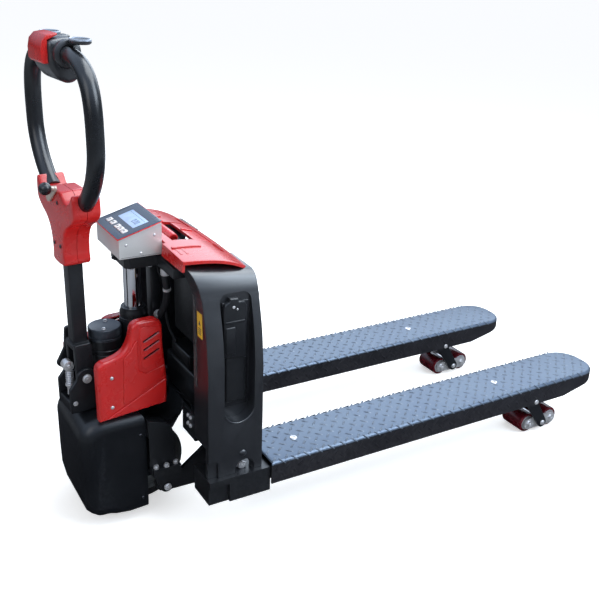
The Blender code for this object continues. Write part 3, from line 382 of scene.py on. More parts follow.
def build_lights():
    world = bpy.data.worlds.new("studio")
    world.use_nodes = True
    tree = world.node_tree
    back = tree.nodes["Background"]
    split = tree.nodes.new("ShaderNodeSeparateXYZ")
    tree.links.new(tree.nodes.new("ShaderNodeTexCoord").outputs["Generated"], split.inputs["Vector"])
    height = spread(tree, split.outputs["Z"], 0.02, 0.55)
    sky = blend_colours(tree, height, (0.03, 0.032, 0.036), (0.75, 0.92, 1.2))
    ray = tree.nodes.new("ShaderNodeLightPath").outputs["Is Glossy Ray"]
    lit = blend_colours(tree, ray, (0.44, 0.46, 0.49), sky)
    seen = tree.nodes.new("ShaderNodeLightPath").outputs["Is Camera Ray"]
    tree.links.new(blend_colours(tree, seen, lit, (1.1, 1.1, 1.1)), back.inputs["Color"])
    back.inputs["Strength"].default_value = 1.0
    bpy.context.scene.world = world
    soft_light("overhead", (0.3, 0.5, 3.0), (0.0, 0.0, 0.4), (2.6, 2.2), 85.0, (0.9, 0.96, 1.0))
    soft_light("behind", (-2.6, 2.5, 2.3), (0.0, 0.0, 0.2), (4.6, 2.2), 75.0, (0.8, 0.9, 1.0))
    soft_light("right_high", (2.3, 1.5, 2.5), (0.2, -0.4, 0.6), (2.2, 1.8), 75.0, (0.78, 0.89, 1.0))
    soft_light("operator_side", (1.2, -2.6, 1.9), (0.0, -0.5, 0.5), (1.4, 1.6), 9.0, (1.0, 0.98, 0.95))


def build_camera():
    azimuth, elevation, roll = radians(59.2043), radians(22.5461), radians(2.1225)
    right = Vector((cos(azimuth), sin(azimuth), 0))
    forward = Vector((-sin(azimuth) * cos(elevation), cos(azimuth) * cos(elevation), -sin(elevation)))
    up = right.cross(forward)
    across = cos(roll) * right + sin(roll) * up
    upward = -sin(roll) * right + cos(roll) * up
    data = bpy.data.cameras.new("camera")
    data.lens = 51.1667
    data.sensor_width = 36.0
    camera = bpy.data.objects.new("camera", data)
    turn = Matrix((across, upward, -forward)).transposed().to_4x4()
    camera.matrix_world = Matrix.Translation((1.8348, HEEL_Y - 0.8558, 1.3474)) @ turn
    bpy.context.scene.collection.objects.link(camera)
    bpy.context.scene.camera = camera
    bpy.context.scene.view_settings.view_transform = "Standard"


# ---- outlines -----------------------------------------------------------------------------------
def arc(centre, radius, start_deg, end_deg, steps=10):
    span = end_deg - start_deg
    angles = [radians(start_deg + span * k / steps) for k in range(steps + 1)]
    return [(centre[0] + radius * cos(a), centre[1] + radius * sin(a)) for a in angles]


def capsule(a, b, radius_a, radius_b, steps=14):
    """Two round ends joined by straight sides."""
    heading = atan2(b[1] - a[1], b[0] - a[0]) * 180 / pi
    return arc(a, radius_a, heading + 90, heading + 270, steps) + arc(b, radius_b, heading - 90, heading + 90, steps)


def between(a, b, c, d, t):
    """The point at t on a smooth curve from b to c, where a comes before them and d after."""
    return 0.5 * (2 * b + (c - a) * t + (2 * a - 5 * b + 4 * c - d) * t * t + (3 * b - a - 3 * c + d) * t ** 3)


def smooth(route, spacing):
    """Points every spacing along a smooth curve through the route's own points."""
    places = [Vector(p) for p in route]
    places = [2 * places[0] - places[1]] + places + [2 * places[-1] - places[-2]]
    out = []
    for a, b, c, d in zip(places, places[1:], places[2:], places[3:]):
        count = max(1, round((c - b).length / spacing))
        for k in range(count):
            out.append(between(a, b, c, d, k / count))
    return out + [places[-2]]


def eased(points, spacing=0.004):
    """A closed outline with flowing sides, for moulded shapes."""
    ring = [Vector((*p, 0)) for p in points]
    out = []
    for k in range(len(ring)):
        a, b, c, d = (ring[(k + s) % len(ring)] for s in (-1, 0, 1, 2))
        count = max(1, round((c - b).length / spacing))
        for j in range(count):
            p = between(a, b, c, d, j / count)
            out.append((p.x, p.y))
    return out


# ---- shapes, each a bmesh in truck coordinates --------------------------------------------------
# axis letter -> matrix that lays an outline (u, v) and its thickness w in the truck's frame
LAY = {
    "x": Matrix(((0, 0, 1, 0), (1, 0, 0, 0), (0, 1, 0, 0), (0, 0, 0, 1))),    # u = Y, v = Z
    "y": Matrix(((1, 0, 0, 0), (0, 0, 1, 0), (0, 1, 0, 0), (0, 0, 0, 1))),    # u = X, v = Z
    "z": Matrix.Identity(4),                                                   # u = X, v = Y
}


def soften(bm, edges, width, segments=3):
    if width and edges:
        bmesh.ops.bevel(bm, geom=edges, offset=width, offset_type="OFFSET", segments=segments, profile=0.5,
                        affect="EDGES", material=-1, clamp_overlap=True)


def slab(axis, outline, low, high, round_by=0.0, segments=3):
    """A flat outline made thick from low to high, its two rims rounded."""
    bm = bmesh.new()
    face = bm.faces.new([bm.verts.new((u, v, low)) for u, v in outline])
    grown = bmesh.ops.extrude_face_region(bm, geom=[face])["geom"]
    top = [g for g in grown if isinstance(g, bmesh.types.BMVert)]
    bmesh.ops.translate(bm, vec=(0, 0, high - low), verts=top)
    bmesh.ops.transform(bm, matrix=LAY[axis], verts=bm.verts)
    bmesh.ops.recalc_face_normals(bm, faces=bm.faces)
    rims = [e for e in bm.edges if any(len(f.verts) == len(outline) for f in e.link_faces)]
    if len(outline) == 4:
        rims = list(bm.edges)
    soften(bm, rims, round_by, segments)
    return bm


def block(low, high, round_by=0.0, segments=3):
    low, high = Vector(low), Vector(high)
    bm = bmesh.new()
    size = Matrix.Diagonal((*(high - low), 1.0))
    bmesh.ops.create_cube(bm, size=1.0, matrix=Matrix.Translation((low + high) / 2) @ size)
    soften(bm, list(bm.edges), round_by, segments)
    return bm


def aimed(start, end):
    start, end = Vector(start), Vector(end)
    return Matrix.Translation(start) @ (end - start).to_track_quat("Z", "Y").to_matrix().to_4x4()


def spun(profile, closed, start, end, steps):
    bm = bmesh.new()
    points = [bm.verts.new((r, 0, h)) for r, h in profile]
    edges = [bm.edges.new(pair) for pair in zip(points, points[1:] + (points[:1] if closed else []))]
    bmesh.ops.spin(bm, geom=points + edges, axis=(0, 0, 1), cent=(0, 0, 0), angle=tau, steps=steps, use_merge=True)
    bmesh.ops.remove_doubles(bm, verts=bm.verts, dist=1e-6)
    bmesh.ops.recalc_face_normals(bm, faces=bm.faces)
    bmesh.ops.transform(bm, matrix=aimed(start, end), verts=bm.verts)
    return bm


def turned(profile, start, end, steps=48):
    """Spins an open (radius, distance) profile about the line from start towards end; its ends lie on the line."""
    return spun(profile, False, start, end, steps)


def ring(profile, start, end, steps=48):
    """Spins a closed (radius, distance) profile about the line from start towards end."""
    return spun(profile, True, start, end, steps)


def rod(start, end, radius, round_by=0.0, steps=40):
    length = (Vector(end) - Vector(start)).length
    r = round_by
    profile = [(0, 0), (radius, 0), (radius, length), (0, length)]
    if r:
        low = [(radius - r + r * sin(a), r - r * cos(a)) for a in (0, pi / 6, pi / 3, pi / 2)]
        high = [(x, length - h) for x, h in reversed(low)]
        profile = [(0, 0)] + low + high + [(0, length)]
    return turned(profile, start, end, steps)


def ball(centre, radius):
    bm = bmesh.new()
    bmesh.ops.create_uvsphere(bm, u_segments=32, v_segments=16, radius=radius, matrix=Matrix.Translation(centre))
    return bm


def pipe(points, radius, sides=20):
    """A bent tube: a circle carried along the points and bridged ring to ring."""
    bm = bmesh.new()
    places = [Vector(p) for p in points]
    up = Vector((0.31, 0.17, 0.93))
    rings = []
    for k, place in enumerate(places):
        ahead = places[min(k + 1, len(places) - 1)] - places[max(k - 1, 0)]
        ahead.normalize()
        across = up.cross(ahead).normalized()
        up = ahead.cross(across)
        turn = Matrix((across, up, ahead)).transposed().to_4x4()
        verts = bmesh.ops.create_circle(bm, cap_ends=False, segments=sides, radius=radius,
                                        matrix=Matrix.Translation(place) @ turn)["verts"]
        rings.append(verts)
    for a, b in zip(rings, rings[1:]):
        for k in range(sides):
            n = (k + 1) % sides
            bm.faces.new((a[k], a[n], b[n], b[k]))
    bm.faces.new(list(reversed(rings[0])))
    bm.faces.new(rings[-1])
    bmesh.ops.recalc_face_normals(bm, faces=bm.faces)
    return bm


def hex_bolt(start, end, across, height, washer=0.0):
    """A hexagon head standing on a washer, from start in the direction of end."""
    shapes = []
    lift = 0.0
    if washer:
        shapes.append(turned([(0, 0), (washer, 0), (washer, 0.001), (washer - 0.0004, 0.0014), (0, 0.0014)],
                             start, end, 32))
        lift = 0.0014
    bm = bmesh.new()
    bmesh.ops.create_cone(bm, cap_ends=True, segments=6, radius1=across / 1.732, radius2=across / 1.732,
                          depth=height, matrix=Matrix.Translation((0, 0, lift + height / 2)))
    soften(bm, [e for e in bm.edges if abs(e.verts[0].co.z - e.verts[1].co.z) < 1e-6
                and e.verts[0].co.z > lift + height / 2], height * 0.18, 2)
    bmesh.ops.transform(bm, matrix=aimed(start, end), verts=bm.verts)
    return shapes + [bm]


def socket_screw(start, end, radius, height):
    """A cylinder-head or button screw with a hexagon socket."""
    dip = height * 0.55
    profile = [(0, height - dip), (radius * 0.42, height - dip), (radius * 0.42, height),
               (radius * 0.82, height), (radius, height * 0.72), (radius, 0), (0, 0)]
    return turned(profile, start, end, 24)


def dome_screw(start, end, radius, height):
    """A round-headed screw with a sunk centre."""
    profile = [(0, height * 0.62), (radius * 0.28, height * 0.7), (radius * 0.34, height * 0.96),
               (radius * 0.7, height * 0.72), (radius * 0.93, height * 0.36), (radius, 0), (0, 0)]
    return turned(profile, start, end, 24)


def mirrored(shapes, side):
    """The same shapes on the +X (1) or -X (-1) side."""
    if side < 0:
        for bm in shapes:
            bmesh.ops.scale(bm, vec=(-1, 1, 1), verts=bm.verts)
            bmesh.ops.reverse_faces(bm, faces=bm.faces)
    return shapes


def tilted(shapes, turn):
    for bm in shapes:
        bmesh.ops.transform(bm, matrix=turn, verts=bm.verts)
    return shapes


def gather(shapes):
    whole = bmesh.new()
    for bm in shapes:
        mesh = bpy.data.meshes.new("part")
        bm.to_mesh(mesh)
        bm.free()
        whole.from_mesh(mesh)
        bpy.data.meshes.remove(mesh)
    return whole


def as_object(bm, name):
    mesh = bpy.data.meshes.new(name)
    bm.to_mesh(mesh)
    bm.free()
    obj = bpy.data.objects.new(name, mesh)
    bpy.context.scene.collection.objects.link(obj)
    return obj


def carve(bm, tools, operation="DIFFERENCE"):
    """Cuts the tools' space out of a shape, or joins them to it, one after another."""
    whole = as_object(bm, "carved")
    helpers = []
    for tool in tools:
        helper = as_object(tool, "cutter")
        change = whole.modifiers.new("change", "BOOLEAN")
        change.operation = operation
        change.object = helper
        helpers.append(helper)
    bpy.context.view_layer.update()
    result = bpy.data.meshes.new_from_object(whole.evaluated_get(bpy.context.evaluated_depsgraph_get()))
    out = bmesh.new()
    out.from_mesh(result)
    for obj in helpers + [whole]:
        bpy.data.objects.remove(obj)
    bpy.data.meshes.remove(result)
    return out


def sharp_edges(bm, degrees):
    return [e for e in bm.edges if len(e.link_faces) == 2 and e.calc_face_angle(0) > radians(degrees)]


def round_edges(bm, width, segments, angle):
    """Rounds a carved shape's sharp edges."""
    bmesh.ops.remove_doubles(bm, verts=bm.verts, dist=1e-5)
    bmesh.ops.dissolve_limit(bm, angle_limit=radians(0.5), verts=bm.verts, edges=bm.edges)
    soften(bm, sharp_edges(bm, angle), width, segments)
    return bm


def piece(name, shapes, mat, body, replaces=(), sharp=32, bevel=0.0):
    """Joins shapes into one finished piece that rides on a body, and turns with the steering if that body does."""
    bm = gather(shapes) if isinstance(shapes, list) else shapes
    bmesh.ops.transform(bm, matrix=DRIVE if body in STEERED else TRUCK, verts=bm.verts)
    obj = as_object(bm, name)
    mesh = obj.data
    mesh.materials.append(mat)
    mesh.shade_smooth()
    mesh.set_sharp_from_angle(angle=radians(sharp))
    if bevel:
        rounding = obj.modifiers.new("rounding", "BEVEL")
        rounding.width = bevel
        rounding.segments = 2
        rounding.limit_method = "ANGLE"
        rounding.angle_limit = radians(40)
        rounding.harden_normals = True
    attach(obj, body)
    if replaces:
        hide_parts(*replaces)
    return obj


# ---- forks --------------------------------------------------------------------------------------
NOSE_R = 0.068
LUG_PITCH = 0.0355
LUG_HALF = (0.0118, 0.003, 0.0017)      # half length, half width and height of one tread lug


def deck_outline(centre, inset):
    half = FORK_WIDTH / 2 - inset
    start, end = 0.0045 - 5 * inset, FORK_LENGTH - inset
    corner = NOSE_R - inset
    right = arc((half - corner, end - corner), corner, 0, 90, 18)
    left = [(-x, y) for x, y in reversed(right)]
    return [(centre + x, y) for x, y in [(half, start)] + right + left + [(-half, start)]]


def add_lug(bm, place):
    shape = place @ Matrix.Diagonal((*LUG_HALF, 1.0))
    bmesh.ops.create_uvsphere(bm, u_segments=8, v_segments=4, radius=1.0, matrix=shape)


def build_deck(label, centre):
    deck = slab("z", deck_outline(centre, 0), FORK_TOP - SKIRT, FORK_TOP)
    rim = [e for e in deck.edges if e.verts[0].co.z > FORK_TOP - 1e-5 and e.verts[1].co.z > FORK_TOP - 1e-5]
    soften(deck, rim, 0.0095, 7)
    hollow = slab("z", deck_outline(centre, DECK_WALL), 0.1, FORK_TOP - DECK_WALL)
    ramp = [(1.002, 0.09), (1.2, 0.09), (1.2, 0.164), (1.124, 0.147), (1.002, 0.1195)]
    deck = carve(deck, [hollow, slab("x", ramp, centre - 0.1, centre + 0.1)])
    deck_piece = piece(f"deck_plate_{label}", deck, DECK_PAINT_AND_SKY_REFLECTION, "chassis",
                       replaces=(f"fork_deck_{label}",))
    # Upward faces keep the bluish copy, whose tone holds painted sky reflection; faces turned sideways or down take
    # the near-black copy as painted shade.
    deck_piece.data.materials.append(SKIRT_PAINT_AND_SHADE)
    for face in deck_piece.data.polygons:
        if face.normal.z < 0.2:
            face.material_index = 1


def build_treads(label, centre):
    """Raised lugs in crossed rows on the deck, over its folds and, flatter, down its sides."""
    lugs = bmesh.new()
    skirt = bmesh.new()
    half = FORK_WIDTH / 2
    nose_y = FORK_LENGTH - NOSE_R
    for i in range(2 * int(FORK_LENGTH / LUG_PITCH) + 1):
        y = 0.016 + i * LUG_PITCH / 2
        for j in range(5):
            x = -0.0745 + (j + 0.5 * (i % 2)) * LUG_PITCH
            beyond = max(0.0, y - nose_y)
            if abs(x) > 0.079 or (beyond > 0 and hypot(max(0.0, abs(x) - 0.011), beyond) > 0.06):
                continue
            turn = radians(45 if i % 2 else 135)
            drop = 0.0001 if abs(x) < 0.07 else 0.0011
            add_lug(lugs, Matrix.Translation((centre + x, y, FORK_TOP - drop)) @ Matrix.Rotation(turn, 4, "Z"))
        if y > nose_y:
            continue
        for edge in (-1, 1):
            if i % 2:
                fold = Matrix.Translation((centre + edge * (half - 0.0022), y, FORK_TOP - 0.0024))
                fold = fold @ Matrix.Rotation(radians(45 * edge), 4, "Y")
                add_lug(lugs, fold @ Matrix.Rotation(radians(45), 4, "Z") @ Matrix.Diagonal((1.0, 0.8, 0.9, 1.0)))
            z = FORK_TOP - 0.02 - 0.0178 * (i % 2)
            if y < 0.99:
                flat = Matrix.Translation((centre + edge * half, y, z)) @ Matrix.Rotation(radians(90), 4, "Y")
                turn = radians(45 if i % 2 else -45)
                add_lug(skirt, flat @ Matrix.Rotation(turn, 4, "Z") @ Matrix.Diagonal((1.0, 1.0, 0.6, 1.0)))
    piece(f"deck_lugs_{label}", lugs, LUG_PAINT_AND_SHADE, "chassis")
    piece(f"skirt_lugs_{label}", skirt, SKIRT_PAINT_AND_SHADE, "chassis")


def build_deck_screws(label, centre):
    screws = []
    for y in CELL_Y:
        screws.append(turned([(0, 0.0012), (0.0042, 0.0012), (0.0046, 0.0026), (0.0088, 0.002), (0.01, 0.0006),
                              (0.01, 0)], (centre, y, FORK_TOP - 0.0002), (centre, y, FORK_TOP + 1), 36))
    piece(f"deck_screws_{label}", screws, ZINC, "chassis")

    bolts = []
    for edge in (-1, 1):
        x = centre + edge * (FORK_WIDTH / 2 - 0.0001)
        bolts.append(turned([(0, 0.0034), (0.0034, 0.0034), (0.0062, 0.0024), (0.0074, 0.0)],
                            (x, ARM_PIN[0], ARM_PIN[1] + 0.004), (x + edge, ARM_PIN[0], ARM_PIN[1] + 0.004), 32))
    piece(f"arm_pin_heads_{label}", bolts, ZINC, "chassis")


def build_fork(label, side):
    centre = FORK_X * side
    build_deck(label, centre)
    build_treads(label, centre)
    build_deck_screws(label, centre)


# ---- running gear -------------------------------------------------------------------------------
AXLE_Y = (("rear", BOGIE_PIN[0] - AXLE_PITCH / 2), ("front", BOGIE_PIN[0] + AXLE_PITCH / 2))


def build_load_rollers(label, centre):
    z = BOGIE_PIN[1]
    for word, y in AXLE_Y:
        body = f"roller_{word}_{label}"
        start, stop = (centre - 0.04, y, z), (centre + 0.04, y, z)
        tread = [(0.0225, 0.0004), (0.0262, 0.0004), (0.0285, 0.0012), (0.0296, 0.003), (0.03, 0.006),
                 (0.03, 0.074), (0.0296, 0.077), (0.0285, 0.0788), (0.0262, 0.0796), (0.0225, 0.0796)]
        piece(f"roller_tread_{word}_{label}", [ring(tread, start, stop, 56)], ROLLER_PU, body,
              replaces=(f"load_roller_{word}_{label}",))
        caps = []
        for edge in (-1, 1):
            near = (centre + edge * 0.0372, y, z)
            caps.append(ring([(0.0088, 0), (0.0226, 0), (0.0226, 0.0022), (0.0205, 0.0026), (0.0185, 0.0016),
                              (0.012, 0.0016), (0.011, 0.0027), (0.0088, 0.0027)],
                             near, (near[0] + edge, y, z), 48))
        piece(f"roller_caps_{word}_{label}", caps, ZINC, body)


def build_bogie(label, centre):
    z = BOGIE_PIN[1]
    link = capsule((AXLE_Y[0][1], z), (AXLE_Y[1][1], z), 0.018, 0.018)
    plates = []
    for edge in (-1, 1):
        low, high = sorted((centre + edge * 0.041, centre + edge * 0.048))
        bore = rod((centre - 0.06, *BOGIE_PIN), (centre + 0.06, *BOGIE_PIN), 0.0084, steps=32)
        plates.append(round_edges(carve(slab("x", link, low, high), [bore]), 0.001, 2, 50))
    piece(f"bogie_plates_{label}", plates, ZINC, f"bogie_{label}",
          replaces=(f"bogie_{label}_link",))
    axles = []
    for _, y in AXLE_Y:
        axles.append(rod((centre - 0.049, y, z), (centre + 0.049, y, z), 0.0085, 0.0008))
        for edge in (-1, 1):
            x = centre + edge * 0.048
            axles += hex_bolt((x, y, z), (x + edge, y, z), 0.0165, 0.0045, 0.0125)
            axles.append(dome_screw((x + edge * 0.0058, y, z), (x + edge, y, z), 0.0048, 0.0014))
    piece(f"bogie_axles_{label}", axles, ZINC, f"bogie_{label}")


def build_roller_arm(label, side, centre):
    body = f"arm_{label}"
    arms = []
    for edge in (-1, 1):
        low, high = sorted((centre + edge * 0.05, centre + edge * 0.0585))
        arms.append(slab("x", capsule(ARM_PIN, BOGIE_PIN, 0.02, 0.0155), low, high, 0.0014))
    arms.append(rod((centre - 0.051, *ARM_PIN), (centre + 0.051, *ARM_PIN), 0.014, 0.0008))
    low, high = sorted((centre - 0.02 * side, centre - 0.029 * side))
    arms.append(slab("x", capsule(ARM_PIN, (ARM_PIN[0], ARM_PIN[1] + 0.03), 0.0165, 0.011), low, high, 0.001))
    piece(f"roller_arm_plates_{label}", arms, BLACK_PAINT, body, replaces=(f"roller_arm_{label}",))
    pin = [rod((centre - 0.061, *BOGIE_PIN), (centre + 0.061, *BOGIE_PIN), 0.008, 0.001)]
    for edge in (-1, 1):
        x = centre + edge * 0.0583
        pin.append(turned([(0, 0.0048), (0.003, 0.0048), (0.0062, 0.0038), (0.008, 0.0018), (0.0084, 0)],
                          (x, *BOGIE_PIN), (x + edge, *BOGIE_PIN), 36))
    piece(f"bogie_pin_{label}", pin, ZINC, body)


def build_rollers(label, side):
    centre = FORK_X * side
    build_load_rollers(label, centre)
    build_bogie(label, centre)
    build_roller_arm(label, side, centre)


def build_drive_wheel():
    start, stop = (-0.04, STEER_Y, WHEEL_Z), (0.04, STEER_Y, WHEEL_Z)
    tread = [(0.0798, 0.0), (0.096, 0.0)]
    for width, turns in ((0.009, range(15, 91, 15)), (0.071, range(90, 181, 15))):
        tread += [(0.096 + 0.009 * sin(radians(a)), width - 0.009 * cos(radians(a))) for a in turns]
    tread += [(0.0798, 0.08)]
    piece("drive_tyre_tread", [ring(tread, start, stop, 72)], TYRE_RUBBER, "drive_wheel",
          replaces=("drive_tyre",))
    rim = [(0.0128, -0.018), (0.03, -0.018), (0.033, -0.015), (0.05, -0.015), (0.054, -0.011),
           (0.06, -0.006), (0.066, -0.0058), (0.07, -0.002), (0.0797, -0.0016), (0.0797, 0.0816),
           (0.07, 0.082), (0.066, 0.0858), (0.06, 0.086), (0.054, 0.091), (0.05, 0.095),
           (0.033, 0.095), (0.03, 0.098), (0.0128, 0.098)]
    shapes = [ring(rim, start, stop, 72)]
    for k in range(6):
        angle = tau * k / 6
        for edge in (-1, 1):
            spot = (edge * 0.0548, STEER_Y + 0.042 * cos(angle), WHEEL_Z + 0.042 * sin(angle))
            shapes += hex_bolt(spot, (spot[0] + edge, *spot[1:]), 0.0085, 0.0026)
    piece("drive_hub_casting", shapes, HUB_CASTING, "drive_wheel", replaces=("drive_hub",))


def build_rocker_details():
    bolts = []
    for _, side in SIDES:
        x = 0.248 * side
        bolts += hex_bolt((x, *ROCKER_PIN), (x + side, *ROCKER_PIN), 0.02, 0.0075, 0.014)
    piece("rocker_end_bolts", bolts, ZINC, "rocker_shaft")


# ---- yoke and wheel guard -----------------------------------------------------------------------
def build_yoke_details():
    pins = []
    screws = []
    for _, side in SIDES:
        x = 0.1498 * side
        pins.append(turned([(0, 0.0062), (0.003, 0.0062), (0.0034, 0.0046), (0.0074, 0.0046), (0.0092, 0.003),
                            (0.0096, 0)], (x, *EAR_PIN), (x + side, *EAR_PIN), 36))
        for px, py in ((0.1365, -0.236), (0.1345, -0.184), (0.139, -0.21)):
            screws.append(socket_screw((px * side, py, 0.1474), (px * side, py, 1.0), 0.0068, 0.008))
    piece("yoke_ear_pins", pins, ZINC, "yoke")
    piece("yoke_flange_screws", screws, ZINC, "yoke")
    ridges = []
    for _, side in SIDES:
        low, high = sorted((0.1298 * side, 0.1322 * side))
        lobe = [(-0.25, 0.15), (-0.186, 0.15), (-0.188, 0.22)] + arc((-0.223, 0.236), 0.035, 0, 80, 10)
        ridges.append(slab("x", lobe + [(-0.25, 0.28)], low, high, 0.001))
        low, high = sorted((0.09 * side, 0.13 * side))
        ridges.append(slab("x", [(-0.25, 0.23), (-0.1905, 0.23)] + arc((-0.224, 0.236), 0.0335, 0, 80, 10)
                           + [(-0.25, 0.278)], low, high, 0.006, 3))
    piece("yoke_leg_ridges", ridges, BLACK_PAINT, "yoke")


def guard_side():
    side = [(-0.2, 0.015), (-0.2, 0.299), (-0.27, 0.2995)] + arc((-0.352, 0.24), 0.06, 90, 172, 14)
    return side + [(-0.411, 0.14), (-0.41, 0.09), (-0.402, 0.048), (-0.393, 0.038), (-0.378, 0.027),
                   (-0.34, 0.014), (-0.3, 0.009)]


def build_guard():
    rear = -0.252
    shell = slab("x", guard_side(), -0.1185, 0.1185, 0.04, 8)
    roof = [(-0.18, 0.272), (-0.252, 0.272), (-0.254, 0.276)]
    roof += arc((-0.278, 0.274), 0.025, 20, 85, 6) + [(-0.276, 0.32), (-0.18, 0.32)]
    inside = [(-0.2, -0.01), (-0.2, 0.294), (-0.27, 0.2945)]
    inside += arc((-0.352, 0.24), 0.0545, 90, 172, 10)
    inside += [(-0.405, 0.1), (-0.397, 0.05), (-0.378, 0.032), (-0.378, -0.01)]
    shell = carve(shell, [slab("x", inside, -0.1145, 0.1145, 0.035, 5),
                          block((-0.13, rear, -0.05), (0.13, -0.1, 0.35)),
                          slab("x", roof, -0.13, 0.13),
                          rod((0, STEER_Y, 0.2), (0, STEER_Y, 0.35), 0.06)])
    rear_edges = [e for e in shell.edges if all(abs(v.co.y - rear) < 1e-4 for v in e.verts)
                  and abs(e.verts[0].co.x) > 0.116]
    soften(shell, rear_edges, 0.001, 2)
    piece("guard_shell", shell, GUARD_PLASTIC, "yoke", replaces=("wheel_cover",), sharp=38)
    screws = []
    for _, side in SIDES:
        for spot in ((-0.266, 0.24), (-0.266, 0.06)):
            x = 0.1184 * side
            screws.append(dome_screw((x, *spot), (x + side, *spot), 0.0042, 0.002))
    piece("guard_screws", screws, DARK_STEEL, "yoke")


# ---- drive unit ---------------------------------------------------------------------------------
def build_motor():
    y = -0.3062
    can = [(0, 0), (0.0372, 0), (0.039, 0.0018), (0.039, 0.09), (0.0378, 0.091), (0.0378, 0.0936),
           (0.039, 0.0946), (0.039, 0.102), (0.0378, 0.103), (0.0378, 0.1056), (0.039, 0.1066),
           (0.039, 0.1257), (0, 0.1257)]
    piece("motor_can", [turned(can, (0, y, 0.3403), (0, y, 1), 72)], BLACK_PAINT, "drive",
          replaces=("pump_motor",))
    cap = [(0, 0), (0.0395, 0), (0.0395, 0.006), (0.0384, 0.0068), (0.0384, 0.0084), (0.0397, 0.0092),
           (0.0397, 0.0265), (0.039, 0.0283), (0.0372, 0.0296), (0.0352, 0.029), (0, 0.029)]
    piece("motor_lid", [turned(cap, (0, y, 0.4663), (0, y, 1), 72)], MOTOR_LID_PAINT, "drive",
          replaces=("motor_cap",))
    screws = []
    for x, dy in ((0.0215, -0.011), (-0.0215, 0.011)):
        screws += hex_bolt((x, y + dy, 0.495), (x, y + dy, 1), 0.0075, 0.003, 0.005)
    piece("motor_lid_screws", screws, ZINC, "drive")


def build_cylinder():
    collar = [(0.0222, 0), (0.034, 0), (0.034, 0.004), (0.0325, 0.005), (0.0325, 0.011), (0.034, 0.012),
              (0.034, 0.019), (0.0312, 0.024), (0.0305, 0.0305), (0.0222, 0.0307)]
    piece("cylinder_gland", [ring(collar, (0, STEER_Y, 0.5003), (0, STEER_Y, 1), 72)], BLACK_PAINT, "drive",
          replaces=("cylinder_collar",))
    barrel = [(0.0222, 0), (0.035, 0), (0.035, 0.154), (0.034, 0.155), (0.0222, 0.155)]
    piece("cylinder_barrel", [ring(barrel, (0, STEER_Y, 0.3448), (0, STEER_Y, 1), 72)], BLACK_PAINT, "drive")
    piece("piston_rod", [turned([(0, 0), (0.0205, 0), (0.0215, 0.001), (0.0215, 0.1997), (0, 0.1997)],
                                (0, STEER_Y, 0.44), (0, STEER_Y, 1), 96)],
          CHROME, "chassis", replaces=("piston",))
    ports = [rod((0.03, -0.248, 0.47), (0.052, -0.248, 0.47), 0.0075, 0.001)]
    ports += hex_bolt((0.05, -0.248, 0.47), (1.0, -0.248, 0.47), 0.013, 0.008)
    piece("cylinder_port", ports, ZINC, "drive")


COVER_SCREWS = ((-0.343, 0.415), (-0.345, 0.339))
TUCK_FROM, TUCK_DROP, TUCK_LEAN = 0.4, 0.32, 0.42      # the left cover is lower and leans in above this height


def cover_outline(inset):
    """The red cover's side view: a tall rear lobe, an S-shaped front shoulder and a lower front corner."""
    k = inset
    rear = [(-0.376 + k, 0.306 + k), (-0.205 - k, 0.312 + k), (-0.2025 - k, 0.348), (-0.2025 - k, 0.385),
            (-0.207 - k, 0.43), (-0.211 - k, 0.48), (-0.211 - k, 0.515)]
    lobe = arc((-0.235, 0.516), 0.024 - k, 0, 90, 8)
    front = arc((-0.268, 0.518), 0.022 - k, 90, 165, 7)
    swoop = smooth([(-0.2905 + k, 0.515, 0), (-0.296 + k, 0.496 - k, 0), (-0.308 + k, 0.476 - k, 0),
                    (-0.327 + k, 0.465 - k, 0), (-0.35, 0.459 - k, 0)], 0.005)
    corner = arc((-0.356, 0.437), 0.021 - k, 100, 178, 7)
    return rear + lobe + front + [(p.x, p.y) for p in swoop] + corner


def build_pump_cover(label, side):
    shell = slab("x", cover_outline(0), 0.0905, 0.1195, 0.0085, 5)
    vents = []
    for step in range(3):
        drop = 0.0215 * step
        vents.append(slab("x", capsule((-0.26, 0.489 - drop), (-0.224, 0.505 - drop), 0.0034, 0.0034, 8),
                          0.11, 0.13))
    inside = slab("x", cover_outline(0.0045), 0.08, 0.116)
    panel = slab("x", [(-0.269, 0.43), (-0.264, 0.4215), (-0.256, 0.42), (-0.223, 0.433),
                       (-0.2165, 0.438), (-0.215, 0.445)] + arc((-0.226, 0.51), 0.011, 0, 85, 6)
                 + arc((-0.26, 0.514), 0.011, 90, 170, 6), 0.118, 0.1212, 0.0014)
    middle = slab("x", [(-0.318, 0.34), (-0.212, 0.39), (-0.211, 0.418), (-0.258, 0.406), (-0.276, 0.418),
                        (-0.278, 0.496), (-0.285, 0.49), (-0.296, 0.471), (-0.312, 0.458)],
                  0.118, 0.1228, 0.0035, 4)
    lower = slab("x", [(-0.362, 0.312), (-0.211, 0.318), (-0.208, 0.381), (-0.34, 0.323)],
                 0.118, 0.1232, 0.0038, 4)
    shell = carve(shell, [panel, middle, lower], "UNION")
    shell = carve(shell, [inside] + vents)
    shell = carve(shell, [rod((0.1188, *spot), (0.13, *spot), 0.0058, steps=24) for spot in COVER_SCREWS])
    shell = mirrored([shell], side)[0]
    if side < 0:
        for v in shell.verts:
            above = max(0.0, v.co.z - TUCK_FROM)
            v.co.z -= TUCK_DROP * above
            v.co.x += TUCK_LEAN * above
    piece(f"pump_cowl_{label}", [shell], RED_PLASTIC, "drive",
          replaces=(f"pump_cover_{label}",), sharp=40)
    screws = [dome_screw((0.1187, *spot), (1, *spot), 0.0046, 0.0026) for spot in COVER_SCREWS]
    piece(f"pump_cowl_screws_{label}", mirrored(screws, side), ZINC, "drive")


